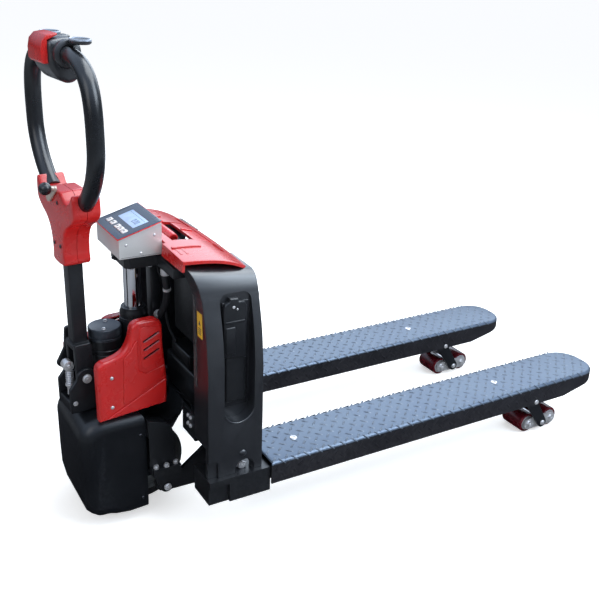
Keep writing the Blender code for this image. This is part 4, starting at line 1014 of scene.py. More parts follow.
def build_tiller_base():
    cheek = [(-0.416, 0.304), (-0.346, 0.304), (-0.346, 0.388)]
    cheek += arc((TILLER_Y, TILLER_PIN_Z), 0.0245, 0, 180, 18) + [(-0.406, 0.378), (-0.416, 0.366)]
    shapes = []
    for low, high in ((0.0315, 0.0415), (-0.0415, -0.0315)):
        shapes.append(slab("x", cheek, low, high, 0.0014))
    shapes.append(block((-0.033, -0.415, 0.3045), (0.033, -0.3465, 0.33), 0.0015))
    hole = rod((0, -0.4, 0.312), (0, -0.4, 0.35), 0.0085)
    base = carve(gather(shapes[2:]), [hole])
    piece("tiller_cheeks", shapes[:2] + [base], BLACK_PAINT, "drive",
          replaces=("tiller_base",))
    bolts = []
    for side in (-1, 1):
        x = 0.0413 * side
        bolts.append(turned([(0, 0.007), (0.0036, 0.007), (0.004, 0.0052), (0.0085, 0.0052), (0.0108, 0.0034),
                             (0.0114, 0)], (x, TILLER_Y, TILLER_PIN_Z), (x + side, TILLER_Y, TILLER_PIN_Z), 40))
        bolts += hex_bolt((x, -0.405, 0.33), (x + side, -0.405, 0.33), 0.008, 0.0032, 0.0058)
    bolts.append(rod((-0.041, TILLER_Y, TILLER_PIN_Z), (0.041, TILLER_Y, TILLER_PIN_Z), 0.0086))
    piece("tiller_pivot_bolt", bolts, ZINC, "drive", replaces=("tiller_pivot_pin",))

    plunger = [rod((0, -0.4, 0.337), (0, -0.4, 0.415), 0.0075, 0.0008),
               ring([(0.0075, 0), (0.011, 0), (0.0116, 0.0008), (0.0116, 0.005), (0.011, 0.0058), (0.0075, 0.0058)],
                    (0, -0.4, 0.36), (0, -0.4, 1), 40)]
    for k in range(7):
        plunger.append(ring([(0.0078 + 0.0011 * (1 - cos(a)), 0.0011 * sin(a)) for a in
                             (0, pi / 3, 2 * pi / 3, pi, 4 * pi / 3, 5 * pi / 3)],
                            (0, -0.4, 0.368 + 0.0047 * k), (0, -0.4, 1), 32))
    plunger += [rod((-0.011, -0.404, 0.415), (0.011, -0.404, 0.415), 0.013, 0.0015),
                rod((-0.015, -0.404, 0.415), (0.015, -0.404, 0.415), 0.0045, 0.0008)]
    piece("plunger_and_roller", plunger, ZINC, "plunger", replaces=("pump_plunger",))

    lever = [slab("x", capsule((-0.37, 0.388), (-0.4, 0.399), 0.014, 0.011), -0.056, -0.046, 0.0012),
             slab("x", capsule((-0.4, 0.399), (-0.382, 0.435), 0.0105, 0.009), -0.0558, -0.0462, 0.0012),
             slab("x", capsule((-0.382, 0.435), (-0.379, 0.482), 0.009, 0.008), -0.0559, -0.0461, 0.0012)]
    piece("pedal_lever", lever, BLACK_PAINT, "pedal", replaces=("lowering_pedal",))


# ---- tiller -------------------------------------------------------------------------------------
def loop_points(count):
    """Half turns of two superellipses: a squarer one above the widest point, a rounder one below."""
    points = []
    for k in range(count + 1):
        angle = radians(-58 + 296 * k / count)
        power = 3.6 if sin(angle) > 0 else 1.85
        c, s = cos(angle), sin(angle)
        x = LOOP_X * abs(c) ** (2 / power) * (1 if c > 0 else -1)
        z = LOOP_Z + LOOP_RISE * abs(s) ** (2 / power) * (1 if s > 0 else -1)
        points.append((x, TILLER_Y, z))
    return points


def even_route(points, spacing):
    """The same route with its points evenly spaced, and rounded by one pass of averaging."""
    out = [Vector(points[0])]
    spare = 0.0
    for a, b in zip(points, points[1:]):
        a, b = Vector(a), Vector(b)
        length = (b - a).length
        at = spacing - spare
        while at <= length:
            out.append(a.lerp(b, at / length))
            at += spacing
        spare = length - (at - spacing)
    out.append(Vector(points[-1]))
    for _ in range(3):
        out = [out[0]] + [(p + 2 * q + r) / 4 for p, q, r in zip(out, out[1:], out[2:])] + [out[-1]]
    return out


def build_tiller_tube():
    column = block((-0.0175, TILLER_Y - 0.0175, 0.46), (0.0175, TILLER_Y + 0.0175, 0.69), 0.0035, 4)
    plate = [(TILLER_Y - 0.02, 0.4), (TILLER_Y - 0.0212, 0.466), (TILLER_Y - 0.018, 0.472),
             (TILLER_Y + 0.018, 0.472), (TILLER_Y + 0.0212, 0.466), (TILLER_Y + 0.022, TILLER_PIN_Z)]
    plate += arc((TILLER_Y, TILLER_PIN_Z), 0.022, 0, -150, 16)
    shapes = [column]
    for low, high in ((0.017, 0.03), (-0.03, -0.017)):
        shapes.append(slab("x", plate, low, high, 0.0022))
    shapes.append(block((-0.022, TILLER_Y - 0.0212, 0.456), (0.022, TILLER_Y + 0.0212, 0.47), 0.002))
    piece("tiller_column", shapes, BLACK_PAINT, "tiller", replaces=("tiller_tube",))
    weld = pipe([(x, y, 0.4725) for x, y in
                 [(-0.0185, TILLER_Y - 0.0185), (0.0185, TILLER_Y - 0.0185), (0.0185, TILLER_Y + 0.0185),
                  (-0.0185, TILLER_Y + 0.0185), (-0.0185, TILLER_Y - 0.018)]], 0.0016, 8)
    piece("tiller_weld", [weld], BLACK_PAINT, "tiller")


def build_head_bracket():
    half = [(0.0305, 0.672), (0.033, 0.7), (0.037, 0.732), (0.048, 0.755), (0.066, 0.77),
            (0.085, 0.78), (0.103, 0.793), (0.111, 0.808), (0.109, 0.842), (0.101, 0.85),
            (0.086, 0.833), (0.068, 0.823), (0.05, 0.829), (0.034, 0.841), (0.02, 0.8425)]
    left = [(-x, z) for x, z in reversed(half)]
    outline = eased([(0.0305, 0.672)] + half[1:] + left, 0.006)
    shape = slab("y", outline, TILLER_Y - 0.031, TILLER_Y + 0.031, 0.01, 5)
    seam = slab("y", outline, TILLER_Y - 0.0006, TILLER_Y + 0.0006)
    inner = slab("y", eased([(x * 0.955, 0.757 + (z - 0.757) * 0.975) for x, z in half + left], 0.006),
                 TILLER_Y - 0.002, TILLER_Y + 0.002)
    groove = carve(seam, [inner])
    outer = pipe(even_route(loop_points(96), 0.008), LOOP_R + 0.0004, 28)
    shape = carve(shape, [groove, outer])
    piece("tiller_head", shape, RED_PLASTIC, "tiller", replaces=("head_bracket",), sharp=40)
    screws = []
    for side in (-1, 1):
        for spot in ((0.018, 0.715), (0.018, 0.815)):
            y = TILLER_Y + 0.0308 * side
            for mirror in (-1, 1):
                at = (spot[0] * mirror, y, spot[1])
                screws.append(socket_screw(at, (at[0], y + side, at[2]), 0.0042, 0.0022))
    piece("tiller_head_screws", screws, DARK_STEEL, "tiller")
    arm = [slab("y", capsule((-0.025, 0.82), (0.02, 0.848), 0.012, 0.006), -0.41, -0.4045, 0.001),
           rod((0.02, -0.407, 0.848), (0.02, -0.42, 0.85), 0.005, 0.0006)]
    piece("lever_arm", arm, LEVER_PLATE, "lever", replaces=("lowering_lever",))
    piece("lever_knob", [ball((0.02, -0.429, 0.85), 0.014)], RUBBER, "lever")


def build_loop():
    piece("handle_loop", [pipe(even_route(loop_points(160), 0.006), LOOP_R, 40)], RUBBER, "tiller",
          replaces=("loop_handle",))


def build_control_head():
    top = LOOP_Z + LOOP_RISE
    housing = [(-0.408, top - 0.023), (-0.409, top), (-0.408, top + 0.022), (-0.398, top + 0.029),
               (-0.38, top + 0.0318), (-0.36, top + 0.031), (-0.344, top + 0.021), (-0.3385, top + 0.006),
               (-0.339, top - 0.02), (-0.343, top - 0.042), (-0.356, top - 0.056), (-0.372, top - 0.059),
               (-0.388, top - 0.052), (-0.399, top - 0.04)]
    shapes = [slab("x", eased(housing, 0.004), -0.05, 0.05, 0.01, 5)]
    for side in (-1, 1):
        collar = [(LOOP_R, 0), (0.029, 0), (0.029, 0.008), (0.0275, 0.012), (0.023, 0.014), (LOOP_R, 0.0145)]
        shapes.append(ring(collar, (0.048 * side, TILLER_Y, top), (side, TILLER_Y, top), 48))
    shapes.append(block((-0.017, -0.39, top + 0.028), (0.017, -0.35, top + 0.033), 0.0024))
    piece("control_housing", shapes, BODY_PLASTIC, "tiller", replaces=("control_head",),
          sharp=40)
    joint = [block((0.0495, -0.405, top - 0.001), (0.0505, -0.342, top + 0.0006), 0.0003, 1)]
    piece("control_seam", joint, GREY_STRIP, "tiller")
    cap = [(-0.4072, top - 0.019), (-0.4072, top + 0.027), (-0.386, top + 0.036), (-0.386, top + 0.04),
           (-0.408, top + 0.037), (-0.419, top + 0.026), (-0.423, top + 0.008), (-0.4225, top - 0.014),
           (-0.418, top - 0.019)]
    piece("reversing_cap", [slab("x", cap, -0.036, 0.042, 0.003, 3)],
          RED_PLASTIC, "belly_switch", replaces=("reversing_button",))
    horn = turned([(0, 0.007), (0.004, 0.0068), (0.006, 0.0054), (0.0065, 0.003), (0.0065, 0)],
                  (0.02, -0.342, top - 0.026), (0.02, 1.0, top - 0.026), 32)
    piece("horn_cap", [horn], BLACK_PAINT, "horn", replaces=("horn_button",))
    bezel = ring([(0.0068, 0), (0.01, 0), (0.01, 0.0022), (0.009, 0.003), (0.0068, 0.003)],
                 (0.02, -0.3412, top - 0.026), (0.02, 1.0, top - 0.026), 32)
    piece("horn_bezel", [bezel], GREY_STRIP, "tiller")
    for label, side in SIDES:
        middle = Vector((0.085 * side, -0.356, top + 0.023))
        stretch = Matrix.Translation(middle) @ Matrix.Diagonal((1.45, 0.9, 1.2, 1.0))
        rim = ring([(0.018, 0.0058), (0.019, 0.005), (0.0215, 0.005), (0.023, 0.006), (0.0228, 0.0078),
                    (0.0205, 0.0086), (0.0182, 0.0076)], (0, 0, 0), (0, 0, 1), 56)
        pad = turned([(0, 0.0), (0.0196, 0.0), (0.0226, 0.0022), (0.023, 0.005), (0.02, 0.0072), (0.01, 0.0062),
                      (0, 0.0056)], (0, 0, 0), (0, 0, 1), 56)
        piece(f"throttle_pad_{label}", tilted([pad], stretch), BODY_PLASTIC, "throttle",
              replaces=(f"throttle_{label}",))
        piece(f"throttle_rim_{label}", tilted([rim], stretch), PADDLE_RIM, "throttle")
    spindle = rod((-0.06, -0.36, top + 0.026), (0.06, -0.36, top + 0.026), 0.0042)
    piece("throttle_spindle", [spindle], BODY_PLASTIC, "throttle")


# ---- chassis: towers, lid, battery, lift bracket ------------------------------------------------
# above LEAN_FROM the tower's front leans out towards the lid's front edge, and its rear drops with the lid
LEAN_FROM, LEAN_SPAN, LEAN_OUT, REAR_DROP = 0.595, 0.095, 0.024, 0.022


def tower_outline():
    """One tower seen from the front: straight to the waist, then leaning in and over to the lid."""
    shoulder = smooth([(BODY_X, 0.46, 0), (0.264, 0.52, 0), (0.256, 0.56, 0), (0.2485, 0.59, 0),
                       (0.242, 0.62, 0), (0.235, 0.648, 0), (0.223, 0.674, 0), (0.205, 0.686, 0)], 0.008)
    outside = [(0.2534, 0.167), (BODY_X, 0.167)] + [(p.x, p.y) for p in shoulder] + [(0.1, 0.688)]
    inside = [(0.1, 0.67), (0.155, 0.664), (0.172, 0.652), (0.182, 0.632), (0.188, 0.612),
              (TOWER_IN, 0.594), (TOWER_IN, 0.2455), (0.2534, 0.2455)]
    return outside + inside


def build_tower_shell(label, side):
    shell = slab("y", tower_outline(), BODY_FRONT, BODY_BACK)
    for z in (LEAN_FROM, 0.62, 0.645, 0.67):
        bmesh.ops.bisect_plane(shell, geom=list(shell.verts) + list(shell.edges) + list(shell.faces),
                               plane_co=(0, 0, z), plane_no=(0, 0, 1))
    rims = [e for e in shell.edges if all(v.co.x > 0.195 or v.co.z > 0.67 for v in e.verts)
            and abs(e.verts[0].co.y - e.verts[1].co.y) < 1e-6 and min(v.co.z for v in e.verts) > 0.168]
    soften(shell, rims, 0.011, 5)
    for v in shell.verts:
        rise = max(0.0, v.co.z - LEAN_FROM) / LEAN_SPAN
        if v.co.y < -0.1:
            v.co.y -= LEAN_OUT * rise ** 2
        else:
            v.co.z -= REAR_DROP * rise
    cavity = block((0.198, BODY_FRONT + 0.008, 0.15), (0.23, BODY_BACK - 0.008, 0.6))
    opening = [(-0.114, 0.338)] + arc((-0.075, 0.345), 0.039, 185, 355, 16)
    opening += [(-0.035, 0.6)] + arc((-0.055, 0.605), 0.02, 0, 80, 6)
    opening += arc((-0.095, 0.606), 0.019, 95, 178, 6)
    pocket = slab("x", opening, 0.238, 0.3)
    dimple = turned([(0, 0), (0.015, 0), (0.0185, 0.002), (0.0215, 0.006), (0.0255, 0.02), (0.0255, 0.04),
                     (0, 0.04)], (0.25, *ROCKER_PIN), (1, *ROCKER_PIN), 40)
    step = slab("x", [(-0.17, 0.15), (-0.13, 0.15), (-0.13, 0.206), (-0.136, 0.214), (-0.17, 0.214)],
                0.264, 0.3)
    shell = carve(shell, [cavity, pocket, dimple, step])
    lips = [e for e in sharp_edges(shell, 38) if all(v.co.x > 0.252 and -0.116 < v.co.y < -0.033 and v.co.z > 0.298
                                                     for v in e.verts)]
    soften(shell, lips, 0.003, 3)
    piece(f"tower_shell_{label}", mirrored([shell], side), BODY_PLASTIC, "chassis",
          replaces=(f"body_shell_{label}",), sharp=36)


def build_pocket(label, side):
    """What lies in the tower's side pocket: a latch block, its clip and the pocket's raised lower lip."""
    back = 0.2382
    inner = [slab("x", [(-0.108, 0.472), (-0.05, 0.464), (-0.05, 0.595), (-0.056, 0.606), (-0.07, 0.608),
                        (-0.072, 0.616), (-0.092, 0.617), (-0.094, 0.608), (-0.104, 0.604), (-0.108, 0.594)],
                  back - 0.001, back + 0.016, 0.0045, 4),
             block((back - 0.001, -0.1, 0.352), (back + 0.01, -0.05, 0.585), 0.003),
             block((back - 0.001, -0.106, 0.355), (back + 0.0045, -0.048, 0.45), 0.003),
             block((back + 0.006, -0.104, 0.48), (back + 0.0185, -0.079, 0.548), 0.003),
             block((back + 0.006, -0.104, 0.556), (back + 0.0175, -0.056, 0.562), 0.0012),
             block((back - 0.001, -0.108, 0.338), (back + 0.006, -0.042, 0.605), 0.002)]
    piece(f"pocket_block_{label}", mirrored(inner, side), BLACK_PAINT, "chassis")
    clip = [rod((back, -0.084, 0.596), (back + 0.018, -0.084, 0.596), 0.0034, 0.0008),
            rod((back, -0.075, 0.59), (back + 0.018, -0.075, 0.59), 0.0024, 0.0008)]
    piece(f"pocket_clip_{label}", mirrored(clip, side), ZINC, "chassis")
    lip = [pipe([(BODY_X - 0.0012, y, z) for y, z in arc((-0.075, 0.345), 0.0405, 200, 340, 20)], 0.0022, 12)]
    lip.append(turned([(0, 0.004), (0.005, 0.0036), (0.008, 0.002), (0.0092, 0)],
                      (BODY_X - 0.0004, -0.065, 0.218), (1, -0.065, 0.218), 28))
    piece(f"pocket_lip_{label}", mirrored(lip, side), BODY_PLASTIC, "chassis")


def build_tower_strip(label, side):
    strip = slab("y", [(0.1935, 0.39), (0.2075, 0.39), (0.205, 0.57), (0.199, 0.625), (0.1935, 0.632)],
                 BODY_FRONT - 0.0016, BODY_FRONT + 0.0005, 0.0004, 1)
    strip = carve(strip, [rod((0.2, BODY_FRONT - 0.01, 0.5), (0.2, BODY_FRONT + 0.01, 0.5), 0.003,
                              steps=20)])
    piece(f"tower_strip_{label}", mirrored([strip], side), GREY_STRIP, "chassis")


def build_tower(label, side):
    build_tower_shell(label, side)
    build_pocket(label, side)
    build_tower_strip(label, side)


def build_label():
    card = slab("y", [(0.216, 0.525), (0.242, 0.525), (0.24, 0.585), (0.214, 0.585)],
                BODY_FRONT - 0.001, BODY_FRONT + 0.0004, 0.0002, 1)
    piece("front_label", [card], LABEL_YELLOW, "chassis")
    marks = [slab("y", [(0.2225, 0.556), (0.2335, 0.556), (0.228, 0.566)], BODY_FRONT - 0.0014,
                  BODY_FRONT - 0.0006)]
    for k in range(4):
        z = 0.533 + 0.0045 * k
        marks.append(block((0.22, BODY_FRONT - 0.0013, z), (0.237, BODY_FRONT - 0.0007, z + 0.0018)))
    piece("front_label_marks", marks, KEY_MARK, "chassis")


LID_X, LID_FRONT, LID_REAR = 0.208, -0.185, -0.023
HATCH = ((-0.0742, -0.1556), (0.0742, -0.0268))


def lid_height(x, y):
    """The crowned top of the red lid: level near its front edge, then falling away to its rear edge."""
    across = min(abs(x) / LID_X, 1.0)
    return 0.7095 - 0.006 * across ** 2.2 - 0.041 * (max(0.0, y + 0.19) / 0.17) ** 3


def lid_sheet(low, high, x_steps, y_steps, drop, thickness):
    """Part of the lid's crowned surface as a closed plate."""
    bm = bmesh.new()
    middle = Vector(((low[0] + high[0]) / 2, (low[1] + high[1]) / 2, 0))
    size = Matrix.Diagonal(((high[0] - low[0]) / 2, (high[1] - low[1]) / 2, 1, 1))
    bmesh.ops.create_grid(bm, x_segments=x_steps, y_segments=y_steps, size=1.0,
                          matrix=Matrix.Translation(middle) @ size)
    bottom = bmesh.ops.extrude_face_region(bm, geom=list(bm.faces))["geom"]
    bottom = [g for g in bottom if isinstance(g, bmesh.types.BMVert)]
    below = set(bottom)
    for v in bm.verts:
        v.co.z = lid_height(v.co.x, v.co.y) - drop - (thickness if v in below else 0.0)
    bmesh.ops.recalc_face_normals(bm, faces=bm.faces)
    return bm


def lid_groove():
    """The shallow channel pressed across the lid near its rear edge."""
    return lid_sheet((-0.14, -0.064), (0.14, -0.052), 40, 2, -0.02, 0.0228)


def build_lid():
    plate = lid_sheet((-LID_X, LID_FRONT), (LID_X, LID_REAR), 56, 28, 0.0, 0.007)
    for v in plate.verts:
        bulge = 0.01 * (1 - ((v.co.y + 0.105) / 0.09) ** 2) * (abs(v.co.x) / LID_X) ** 3
        v.co.x += bulge * (1 if v.co.x > 0 else -1)
        if v.co.y > -0.05:
            v.co.x *= 1 - 0.07 * ((v.co.y + 0.05) / 0.027) ** 2
    lip = [(-LID_X, 0.679), (LID_X, 0.679)]
    lip += [(LID_X * (1 - k / 12), lid_height(LID_X * (1 - k / 12), LID_FRONT) - 0.0012) for k in range(25)]
    face = slab("y", lip, LID_FRONT, LID_FRONT + 0.006)
    for v in face.verts:
        v.co.y -= 0.1 * (0.7 - v.co.z) if v.co.z < 0.7 else 0.0
    whole = carve(plate, [face], "UNION")
    room = block((HATCH[0][0], HATCH[0][1], 0.66), (HATCH[1][0], HATCH[1][1], 0.75))
    indicator = block((-0.0865, -0.21, 0.66), (0.0865, -0.1765, 0.75))
    whole = carve(whole, [room, indicator, lid_groove()])
    rounding = [e for e in sharp_edges(whole, 50)
                if e.verts[0].co.z > lid_height(e.verts[0].co.x, e.verts[0].co.y) - 0.003]
    soften(whole, rounding, 0.0022, 3)
    piece("lid_shell", whole, RED_PLASTIC, "chassis", replaces=("top_cover",), sharp=42)
    ribs = []
    for side in (-1, 1):
        rib = lid_sheet((0.125 * side - 0.004, -0.178), (0.125 * side + 0.004, -0.106), 4, 14, -0.0032, 0.005)
        soften(rib, sharp_edges(rib, 50), 0.0018, 3)
        ribs.append(rib)
        for y in (-0.17, -0.156):
            ribs.append(lid_sheet((0.15 * side - 0.018, y - 0.0018), (0.15 * side + 0.018, y + 0.0018), 10, 2,
                                  -0.0008, 0.003))
    piece("lid_ribs", ribs, RED_PLASTIC, "chassis")


def build_battery():
    pack = [block((-0.07, -0.097, 0.42), (0.07, -0.03, 0.655), 0.005),
            block((-0.07, -0.152, 0.65), (0.07, -0.098, 0.688), 0.0012)]
    piece("battery_case", pack, BLACK_PAINT, "battery", replaces=("battery_pack",))
    top = carve(lid_sheet((-0.0725, -0.101), (0.0725, -0.0285), 24, 14, 0.0006, 0.008), [lid_groove()])
    soften(top, sharp_edges(top, 50), 0.0014, 3)
    posts = [top]
    for x in (-0.046, 0.046):
        posts.append(slab("x", capsule((-0.142, 0.686), (-0.142, 0.702), 0.0075, 0.01), x - 0.004, x + 0.004,
                          0.0012))
    posts.append(turned([(0, 0), (0.0095, 0), (0.0112, 0.0012), (0.012, 0.008), (0.0126, 0.044), (0.0126, 0.056),
                         (0.012, 0.092), (0.0112, 0.0988), (0.0095, 0.1), (0, 0.1)],
                        (-0.05, -0.142, 0.704), (1, -0.142, 0.704), 48))
    ridge = lid_sheet((-0.014, -0.099), (-0.006, -0.07), 3, 8, -0.0026, 0.005)
    soften(ridge, sharp_edges(ridge, 50), 0.0015, 3)
    piece("battery_grip", posts + [ridge], BATTERY_RED, "battery")
    cells = [block((-0.0702, -0.0925, z), (0.0702, -0.0345, z + 0.0012), 0.0003, 1) for z in (0.5, 0.58, 0.64)]
    piece("battery_seams", cells, GREY_STRIP, "battery")


def build_frame():
    section = [(-0.1545, 0.23), (-0.0145, 0.23), (-0.0145, 0.658), (-0.0205, 0.658), (-0.0205, 0.24),
               (-0.1485, 0.24), (-0.1485, 0.3), (-0.1545, 0.3)]
    wall = slab("x", section, -0.1895, 0.1895)
    corners = []
    for side in (-1, 1):
        low, high = sorted((0.15 * side, 0.2 * side))
        corners.append(block((low, -0.04, 0.585), (high, 0.0, 0.7)))
    wall = carve(wall, [rod((0, STEER_Y, 0.2), (0, STEER_Y, 0.4), 0.136, steps=72)] + corners)
    piece("cross_wall", wall, BLACK_PAINT, "chassis", replaces=("cross_frame",), bevel=0.0009)
    shelf = [block((-0.13, -0.099, 0.2405), (0.13, -0.028, 0.33), 0.006),
             block((-0.1, -0.096, 0.329), (0.02, -0.032, 0.37), 0.005),
             block((0.045, -0.096, 0.329), (0.115, -0.04, 0.356), 0.005)]
    piece("controller_box", shelf, BLACK_PAINT, "chassis")
    bolts = []
    for x in (-0.165, -0.15, 0.15, 0.165):
        for z in (0.262, 0.284):
            bolts += hex_bolt((x, -0.1543, z), (x, -1.0, z), 0.008, 0.003, 0.0058)
    for x in (-0.12, -0.04, 0.04, 0.12):
        for z in (0.29, 0.44, 0.57):
            bolts += hex_bolt((x, -0.0146, z), (x, 1.0, z), 0.01, 0.0038, 0.0075)
    piece("frame_bolts", bolts, ZINC, "chassis")
    looms = [pipe(smooth([(0.125, -0.09, 0.64), (0.11, -0.1, 0.56), (0.125, -0.106, 0.47),
                          (0.095, -0.102, 0.395), (0.085, -0.09, 0.356)], 0.008), 0.0042, 14),
             pipe(smooth([(-0.12, -0.085, 0.64), (-0.132, -0.095, 0.52), (-0.115, -0.098, 0.42),
                          (-0.08, -0.09, 0.37)], 0.008), 0.005, 14),
             pipe(smooth([(0.14, -0.08, 0.64), (0.15, -0.09, 0.55), (0.138, -0.095, 0.43),
                          (0.11, -0.085, 0.356)], 0.008), 0.003, 12)]
    piece("wiring_loom", looms, HOSE_RUBBER, "chassis")


def build_lift():
    beam = [block((-0.152, -0.185, 0.642), (0.152, -0.1565, 0.668), 0.002),
            slab("z", [(-0.056, -0.17), (-0.056, -0.254), (-0.046, -0.264), (0.046, -0.264),
                       (0.056, -0.254), (0.056, -0.17)], 0.6453, 0.6798, 0.0022),
            turned([(0, 0), (0.0285, 0), (0.03, 0.0012), (0.03, 0.006), (0, 0.006)],
                   (0, STEER_Y, 0.64), (0, STEER_Y, 1), 56),
            block((-0.014, -0.19, 0.495), (0.018, -0.168, 0.65), 0.0022)]
    piece("lift_arm", beam, BLACK_PAINT, "chassis", replaces=("lift_bracket",))
    gland = [turned([(0, 0.0205), (0.0032, 0.0205), (0.004, 0.017), (0.0066, 0.015), (0.0072, 0.01),
                     (0.006, 0.0096), (0.006, 0.006), (0.0076, 0.0056), (0.0076, 0), (0, 0)],
                    (-0.002, -0.256, 0.658), (-0.002, -1.0, 0.658), 40)]
    piece("bracket_knob", gland, BLACK_PAINT, "chassis")
    screws = []
    for x in (-0.044, 0.044):
        for y in (-0.2, -0.245):
            screws += hex_bolt((x, y, 0.6454), (x, y, -1.0), 0.009, 0.0036, 0.0066)
    piece("bracket_bolts", screws, ZINC, "chassis")


# ---- indicator ----------------------------------------------------------------------------------
def face_place():
    """Carries (x, distance up the slope, height above it) to truck coordinates."""
    return Matrix.Translation((0, *FACE_FRONT)) @ Matrix.Rotation(FACE_TILT, 4, "X")


KEY_SPOTS = (("power", -0.048), ("zero", -0.021), ("enter", 0.009), ("next", 0.031), ("up", 0.053))


def key_openings():
    return [block((x - 0.0092, 0.0168, 0.0), (x + 0.0092, 0.0332, 0.01)) for _, x in KEY_SPOTS]


def digit(x, along, lit):
    """A seven-segment figure of small bars; lit says which bars show, top first and clockwise."""
    w, h, t = 0.0062, 0.0135, 0.0012
    bars = (((x, along + h - t), (x + w, along + h)), ((x + w - t, along + h / 2), (x + w, along + h)),
            ((x + w - t, along), (x + w, along + h / 2)), ((x, along), (x + w, along + t)),
            ((x, along), (x + t, along + h / 2)), ((x, along + h / 2), (x + t, along + h)),
            ((x, along + h / 2 - t / 2), (x + w, along + h / 2 + t / 2)))
    return [block((*low, 0.0029), (*high, 0.0032)) for show, (low, high) in zip(lit, bars) if show]


def build_case(slope):
    front, back = FACE_FRONT, slope @ Vector((0, FACE_DEPTH, 0))
    section = [(front[0], 0.6803), (back.y, 0.6803), (back.y, back.z), (front[0], front[1])]
    case = slab("x", section, -0.08, 0.08, 0.0016, 3)
    piece("indicator_case", [case], STAINLESS, "chassis", replaces=("indicator_box",))
    screws = []
    for side in (-1, 1):
        for y, z in ((-0.268, 0.713), (-0.2, 0.729), (-0.234, 0.69)):
            screws.append(dome_screw((0.0798 * side, y, z), (side, y, z), 0.0036, 0.0018))
    piece("indicator_case_screws", screws, ZINC, "chassis")
    seams = []
    for side in (-1, 1):
        low, high = sorted((0.0799 * side, 0.0806 * side))
        seams.append(block((low, front[0] + 0.004, 0.6835), (high, back.y - 0.004, 0.6843), 0.0002, 1))
    piece("indicator_case_folds", seams, DARK_STEEL, "chassis")


def build_face(slope):
    edge = carve(block((-0.0835, -0.0035, 0.0004), (0.0835, FACE_DEPTH + 0.0035, 0.0026), 0.001, 2),
                 key_openings())
    piece("face_edge", tilted([edge], slope), FACE_EDGE, "chassis")
    film = slab("z", [p for cx, cy, start in ((0.0775, FACE_DEPTH - 0.0025, 0), (-0.0775, FACE_DEPTH - 0.0025, 90),
                                              (-0.0775, 0.0025, 180), (0.0775, 0.0025, 270))
                      for p in arc((cx, cy), 0.0042, start, start + 90, 6)], 0.0015, 0.0033, 0.0003, 2)
    film = carve(film, [block((-0.05, 0.046, 0.0022), (0.056, 0.086, 0.01))] + key_openings())
    piece("face_plate", tilted([film], slope), FACE_FILM, "chassis",
          replaces=("indicator_face",))
    glass = [block((-0.0497, 0.0463, 0.0016), (0.0557, 0.0857, 0.003), 0.0004, 2)]
    piece("display_glass", tilted(glass, slope), LCD, "chassis", replaces=("display_window",))
    segments = []
    for x in (0.012, 0.024, 0.034):
        segments += digit(x, 0.057, (1, 1, 1, 1, 1, 1, 0))
    segments.append(block((0.0204, 0.057, 0.0029), (0.022, 0.0586, 0.0032)))
    segments.append(block((-0.044, 0.078, 0.0029), (0.05, 0.0786, 0.0032)))
    piece("display_figures", tilted(segments, slope), LCD_DARK, "chassis")


def build_keys(slope):
    for key, x in KEY_SPOTS:
        body = f"{key}_key"
        cap = block((x - 0.0085, 0.0175, 0.0016), (x + 0.0085, 0.0325, 0.005), 0.0022, 4)
        piece(f"{key}_key_cap", tilted([cap], slope), KEY_WHITE, body, replaces=(f"key_{key}",))
        top = 0.0049
        if key == "power":
            mark = [ring([(0.0026, 0), (0.0034, 0), (0.0034, 0.0004), (0.0026, 0.0004)], (x, 0.025, top),
                         (x, 0.025, 1), 28)]
        elif key in ("next", "up"):
            turn = 0 if key == "next" else 90
            mark = [slab("z", [(x + 0.0036 * cos(radians(a + turn)), 0.025 + 0.0036 * sin(radians(a + turn)))
                               for a in (0, 120, 240)], top, top + 0.0004)]
        else:
            mark = [block((x - 0.0042, 0.0243, top), (x + 0.0042, 0.0257, top + 0.0004)),
                    block((x - 0.0008, 0.0215, top), (x + 0.0008, 0.0285, top + 0.0004))]
        piece(f"{key}_key_mark", tilted(mark, slope), KEY_MARK, body)


def build_indicator():
    slope = face_place()
    build_case(slope)
    build_face(slope)
    build_keys(slope)


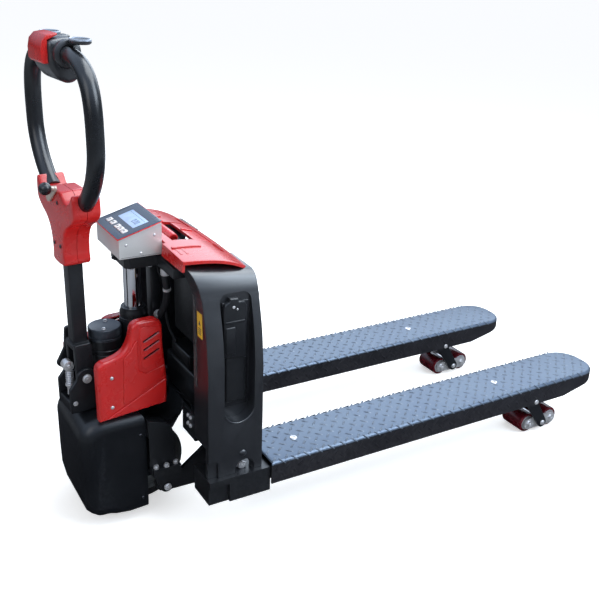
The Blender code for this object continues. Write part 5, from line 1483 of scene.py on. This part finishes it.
def build_hoses():
    cable = [(0.024, -0.174, 0.6415), (0.026, -0.173, 0.618), (0.036, -0.168, 0.604),
             (0.046, -0.17, 0.604), (0.054, -0.174, 0.62), (0.056, -0.174, 0.6415)]
    piece("signal_lead", [pipe(smooth(cable, 0.004), 0.0025, 16)], HOSE_RUBBER, "chassis",
          replaces=("signal_cable",))
    route = [(0.072, -0.174, 0.6412), (0.072, -0.1738, 0.615), (0.07, -0.17, 0.585),
             (0.06, -0.17, 0.55), (0.044, -0.178, 0.514), (0.028, -0.179, 0.509)]
    points = smooth(route, 0.006)
    piece("pump_hose_tube", [pipe(points, 0.0085, 24)], HOSE_RUBBER, "chassis",
          replaces=("pump_hose",))
    fittings = []
    for near, far in ((points[0], points[4]), (points[-1], points[-5])):
        ahead = (far - near).normalized()
        fittings.append(ring([(0.0084, 0), (0.0104, 0), (0.0108, 0.0008), (0.0108, 0.015), (0.01, 0.0165),
                              (0.0084, 0.0165)], near, near + ahead, 36))
    middle = points[len(points) // 3]
    ahead = (points[len(points) // 3 + 1] - middle).normalized()
    fittings.append(ring([(0.0084, 0), (0.0097, 0), (0.0097, 0.007), (0.0084, 0.007)], middle, middle + ahead, 36))
    piece("pump_hose_fittings", fittings, ZINC, "chassis")
    glands = []
    for x in (0.024, 0.056):
        glands.append(ring([(0.0026, 0), (0.006, 0), (0.006, 0.004), (0.0046, 0.008), (0.0026, 0.0086)],
                           (x, -0.174, 0.642), (x, -0.174, 0.0), 24))
    piece("lead_glands", glands, BLACK_PAINT, "chassis")


# ---- everything together ------------------------------------------------------------------------
def dress_cad_nodes():
    for entry in frame["record"]["subparts"]:
        mesh = frame["nodes"][entry["node"]].data
        mesh.materials.clear()
        mesh.materials.append(CAD_FINISH[entry["material_slot"]])


build_stage()
build_lights()
build_camera()
dress_cad_nodes()
build_drive_wheel()
build_rocker_details()
build_yoke_details()
build_guard()
build_motor()
build_cylinder()
build_tiller_base()
build_tiller_tube()
build_head_bracket()
build_loop()
build_control_head()
build_label()
build_lid()
build_battery()
build_frame()
build_lift()
build_indicator()
build_hoses()
for side_name, side_sign in SIDES:
    build_fork(side_name, side_sign)
    build_rollers(side_name, side_sign)
    build_pump_cover(side_name, side_sign)
    build_tower(side_name, side_sign)
